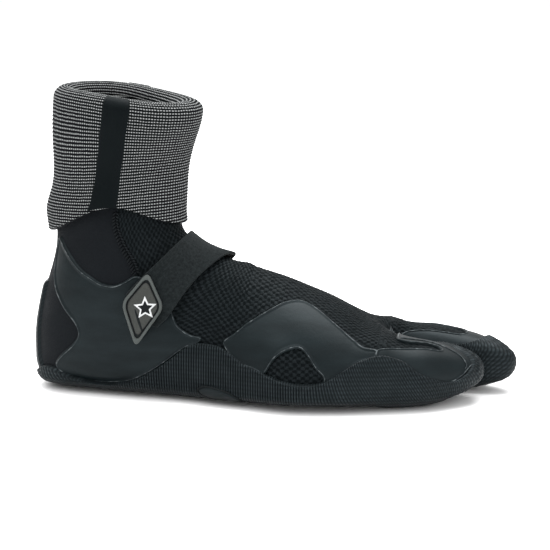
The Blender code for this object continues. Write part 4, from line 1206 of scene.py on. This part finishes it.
def badge():
    """Moulded pull badge: grey frame, black groove, plate with a line on it, and a plain star of our own."""
    rings("badge_rim", [(1.2, -0.3), (0.5, -0.25), (0.0, 0.2), (0.0, 1.3), (0.15, 1.7), (0.45, 1.9),
                        (0.8, 1.95), (1.2, 1.9), (1.5, 1.7), (1.65, 1.3), (1.7, 0.7), (1.75, 0.3)],
          "frame", ["badge_frame"])
    rings("badge_groove", [(1.6, 0.6), (2.2, 0.5), (3.4, 0.6)], "black", [])
    rings("badge_field", [(2.75, 0.3), (2.77, 0.9), (2.9, 1.15), (3.2, 1.3), (4.8, 1.38), (6.6, 1.42)],
          "plate", ["badge_plate"])
    panel("badge_core", rhombus(6.5, 2.6), 1.42, "plate", [], on_badge, 1.6, flat_edge, "strap_tab_body")
    left, bottom = np.array(BADGE[3]), np.array(BADGE[2])
    along = (bottom - left) / np.linalg.norm(bottom - left)
    inward = np.array((-along[1], along[0]))
    start, end = left + 6.6 * inward + 5.5 * along, bottom + 6.6 * inward - 8.5 * along
    strip = spread([tuple(start), tuple(end), tuple(end + 0.7 * inward), tuple(start + 0.7 * inward)], 0.5)
    panel("badge_line", strip, 1.55, "black", ["badge_bar"], on_badge, 1.2, soft_edge, "strap_tab_body")
    for name, size, paint, lift in (("badge_star", 1.0, "white", 1.72),
                                    ("badge_star_inner", 0.78, "black", 1.84)):
        star = []
        for k in range(10):
            reach, turn = (7.2, 3.3)[k % 2] * size, k * PI / 5 + 0.35
            star.append(np.array((1.6 + reach * math.cos(turn), 0.3 + reach * math.sin(turn))))
        sharp = [p + (q - p) * t for p, q in zip(star, star[1:] + star[:1]) for t in (0, 0.25, 0.5, 0.75)]
        panel(name, np.array(sharp), lift, paint, ["badge_emblem"] if paint == "white" else [], on_badge, 1.2,
              soft_edge, "strap_tab_body")


# ---- cuff
CUFF_THICK, CUFF_RADIUS = 3.4, 34      # the radius turns chart angles into millimetres
FOLD_HIGH, FOLD_WIDE, FOLD_MID = 6.6, 6.45, 1.05


def cuff_bottom(phi):
    return 107.25 - 7.75 * np.cos(2 * phi) + 3.5 * np.cos(phi)


def cuff_inner(z):
    return 1.1 + 3.0 * ease(z, 104, 168)


def waves(phi, z):
    """Slack of the turned-down knit, in mm: it flares at the bottom behind and at the top in front."""
    free = ease(-z, -FOLD_Z + 4, -FOLD_Z + 34)
    ripple = 0.5 * np.sin(3 * phi + z / 15.0) + 0.4 * np.sin(5 * phi - z / 11.0 + 1.0)
    front, back = (0.5 + 0.5 * np.cos(phi)) ** 2, (0.5 - 0.5 * np.cos(phi)) ** 2
    return (free * ripple + front * (2.2 * hump(z, 172, 16) - 1.6 * hump(z, 136, 16))
            + back * 3.0 * hump(z, 111, 12))


def cuff_tilt(phi):
    """How far the knit's rows lie below a level line, in mm, at full tilt."""
    return -SHAFT_LEAN * CUFF_RADIUS * np.cos(phi)


def cuff_face(phi, z, target):
    """Point of the cuff; its rim is lifted at the back and on the inner side, and dips in front."""
    lifted = shaft_point(z, phi, target)
    rise = 2.3 - 4.0 * np.cos(phi) + 0.45 * np.sin(phi) - 0.5 * np.cos(2 * phi)
    lifted[..., 2] += rise * ease(z, 128, FOLD_Z)
    return lifted


def flap_face(phi, z, extra):
    return cuff_face(phi, z, cuff_inner(z) + CUFF_THICK + waves(phi, z) + extra)


def fold_face(phi, turn, extra):
    wide = FOLD_WIDE + waves(phi, FOLD_Z)
    return cuff_face(phi, FOLD_Z + (FOLD_HIGH + extra) * np.sin(turn),
                     FOLD_MID + (wide + extra) * np.cos(turn))


def rows_of_knit(v):
    return 0.22 * np.cos(2 * PI * v / KNIT_PITCH + PI)


def cuff_ring(name, points, phi, v, paint, nodes):
    """Closed ring of the cuff; v is the chart's second coordinate in mm."""
    grid_piece(name, points, pairs(phi * CUFF_RADIUS, v), paint, nodes, "cuff", wrap=True,
               period=2 * PI * CUFF_RADIUS)


def cuff():
    """Turned-down cuff: outer knit face, fold, and the lining inside the mouth."""
    phi = np.linspace(-PI, PI, 240, endpoint=False)[None, :]
    bottom = cuff_bottom(phi)

    t = np.linspace(0, 1, 250)[:, None]
    z = bottom + (FOLD_Z - bottom) * t
    v = FOLD_Z - z - cuff_tilt(phi) * ease(FOLD_Z - z, 0, 30)
    round_off = -0.9 * (1 - ease(z - bottom, 0, 0.8))
    outer = flap_face(phi, z, rows_of_knit(v) * ease(FOLD_Z - z, 0, 2) + round_off)
    rim_z = bottom + 0 * np.linspace(0, 1, 3)[:, None]
    share = np.linspace(0.05, 0.75, 3)[:, None]
    rim = cuff_face(phi, rim_z - 0.15, cuff_inner(rim_z) + waves(phi, rim_z) + CUFF_THICK * share)
    t_in = np.linspace(1, 0, 22)[:, None] ** 1.3
    z_in = bottom + (FOLD_Z - 2 - bottom) * t_in
    inner = cuff_face(phi, z_in, cuff_inner(z_in) + np.maximum(waves(phi, z_in), -0.2))
    cuff_ring("cuff_knit_outer", outer, phi, v, "knit", ["cuff_flap"])
    back = np.concatenate([inner, rim])
    cuff_ring("cuff_back_face", back, phi, back[..., 2], "neoprene", [])

    turn = np.linspace(0, PI, 74)[:, None] + 0 * phi
    v = -turn * FOLD_HIGH
    fold = fold_face(phi, turn, rows_of_knit(v) * ease(turn, 0, 0.3))
    cuff_ring("cuff_knit_fold", fold, phi, v, "knit", ["cuff_fold"])

    z = np.linspace(FOLD_Z, FOLD_Z - 42, 150)[:, None] + 0 * phi
    v = -PI * FOLD_HIGH - (FOLD_Z - z)
    deep = FOLD_WIDE - FOLD_MID
    lining = cuff_face(phi, z, -deep - rows_of_knit(v) * ease(FOLD_Z - z, 0, 2))
    lip = cuff_face(phi, z[-1:] + np.array([[-0.1], [0.6]]), -deep + np.array([[0.5], [1.0]]) + 0 * phi)
    whole = np.concatenate([lining, lip])
    cuff_ring("cuff_knit_lining", whole, phi, -PI * FOLD_HIGH - FOLD_Z + whole[..., 2], "lining",
              ["cuff_lining"])


TAPE_END = math.radians(80)    # how far over the fold the tapes go


def tapes():
    """Black tapes glued over the side seams of the cuff, from the turned-down edge to the crest of the fold."""
    for side, name in SIDES:
        a = np.linspace(0, 1, 18)[None, :]
        bottom = cuff_bottom(side * np.radians(78 + 28 * a))
        t = np.linspace(0, 1, 90)[:, None]
        z = bottom + 0.2 + (FOLD_Z - bottom - 0.2) * t
        phi = side * np.radians(95 - 8 * t + (16 - 2 * t) * (2 * a - 1))
        rise = 0.6 * rounded(np.minimum(a, 1 - a) / 0.03)
        flap = flap_face(phi, z, rise + 0.05)
        turn = np.linspace(0, TAPE_END, 24)[1:, None]
        end = ease(-turn, -TAPE_END, -math.radians(76))
        fold = fold_face(phi[-1:] + 0 * turn, turn + 0 * a, (rise + 0.25) * end - 0.2)
        points = np.concatenate([flap, fold])
        along = np.arange(len(points))[:, None] * 0.8
        grid_piece("side_tape_" + name, points, pairs(a * 16, along), "tape", ["seam_tape_" + name], "cuff",
                   flip=side < 0)


def main():
    mix_paints()
    stage_set()
    ankle_panels()
    instep_mesh()
    lining_sleeve()
    toe_socks()
    insole()
    quarter_films()
    forefoot_films()
    toe_films()
    arch_pads()
    rand_walls()
    tread()
    heel_rib_strip()
    seam_threads()
    strap()
    badge()
    cuff()
    tapes()


main()
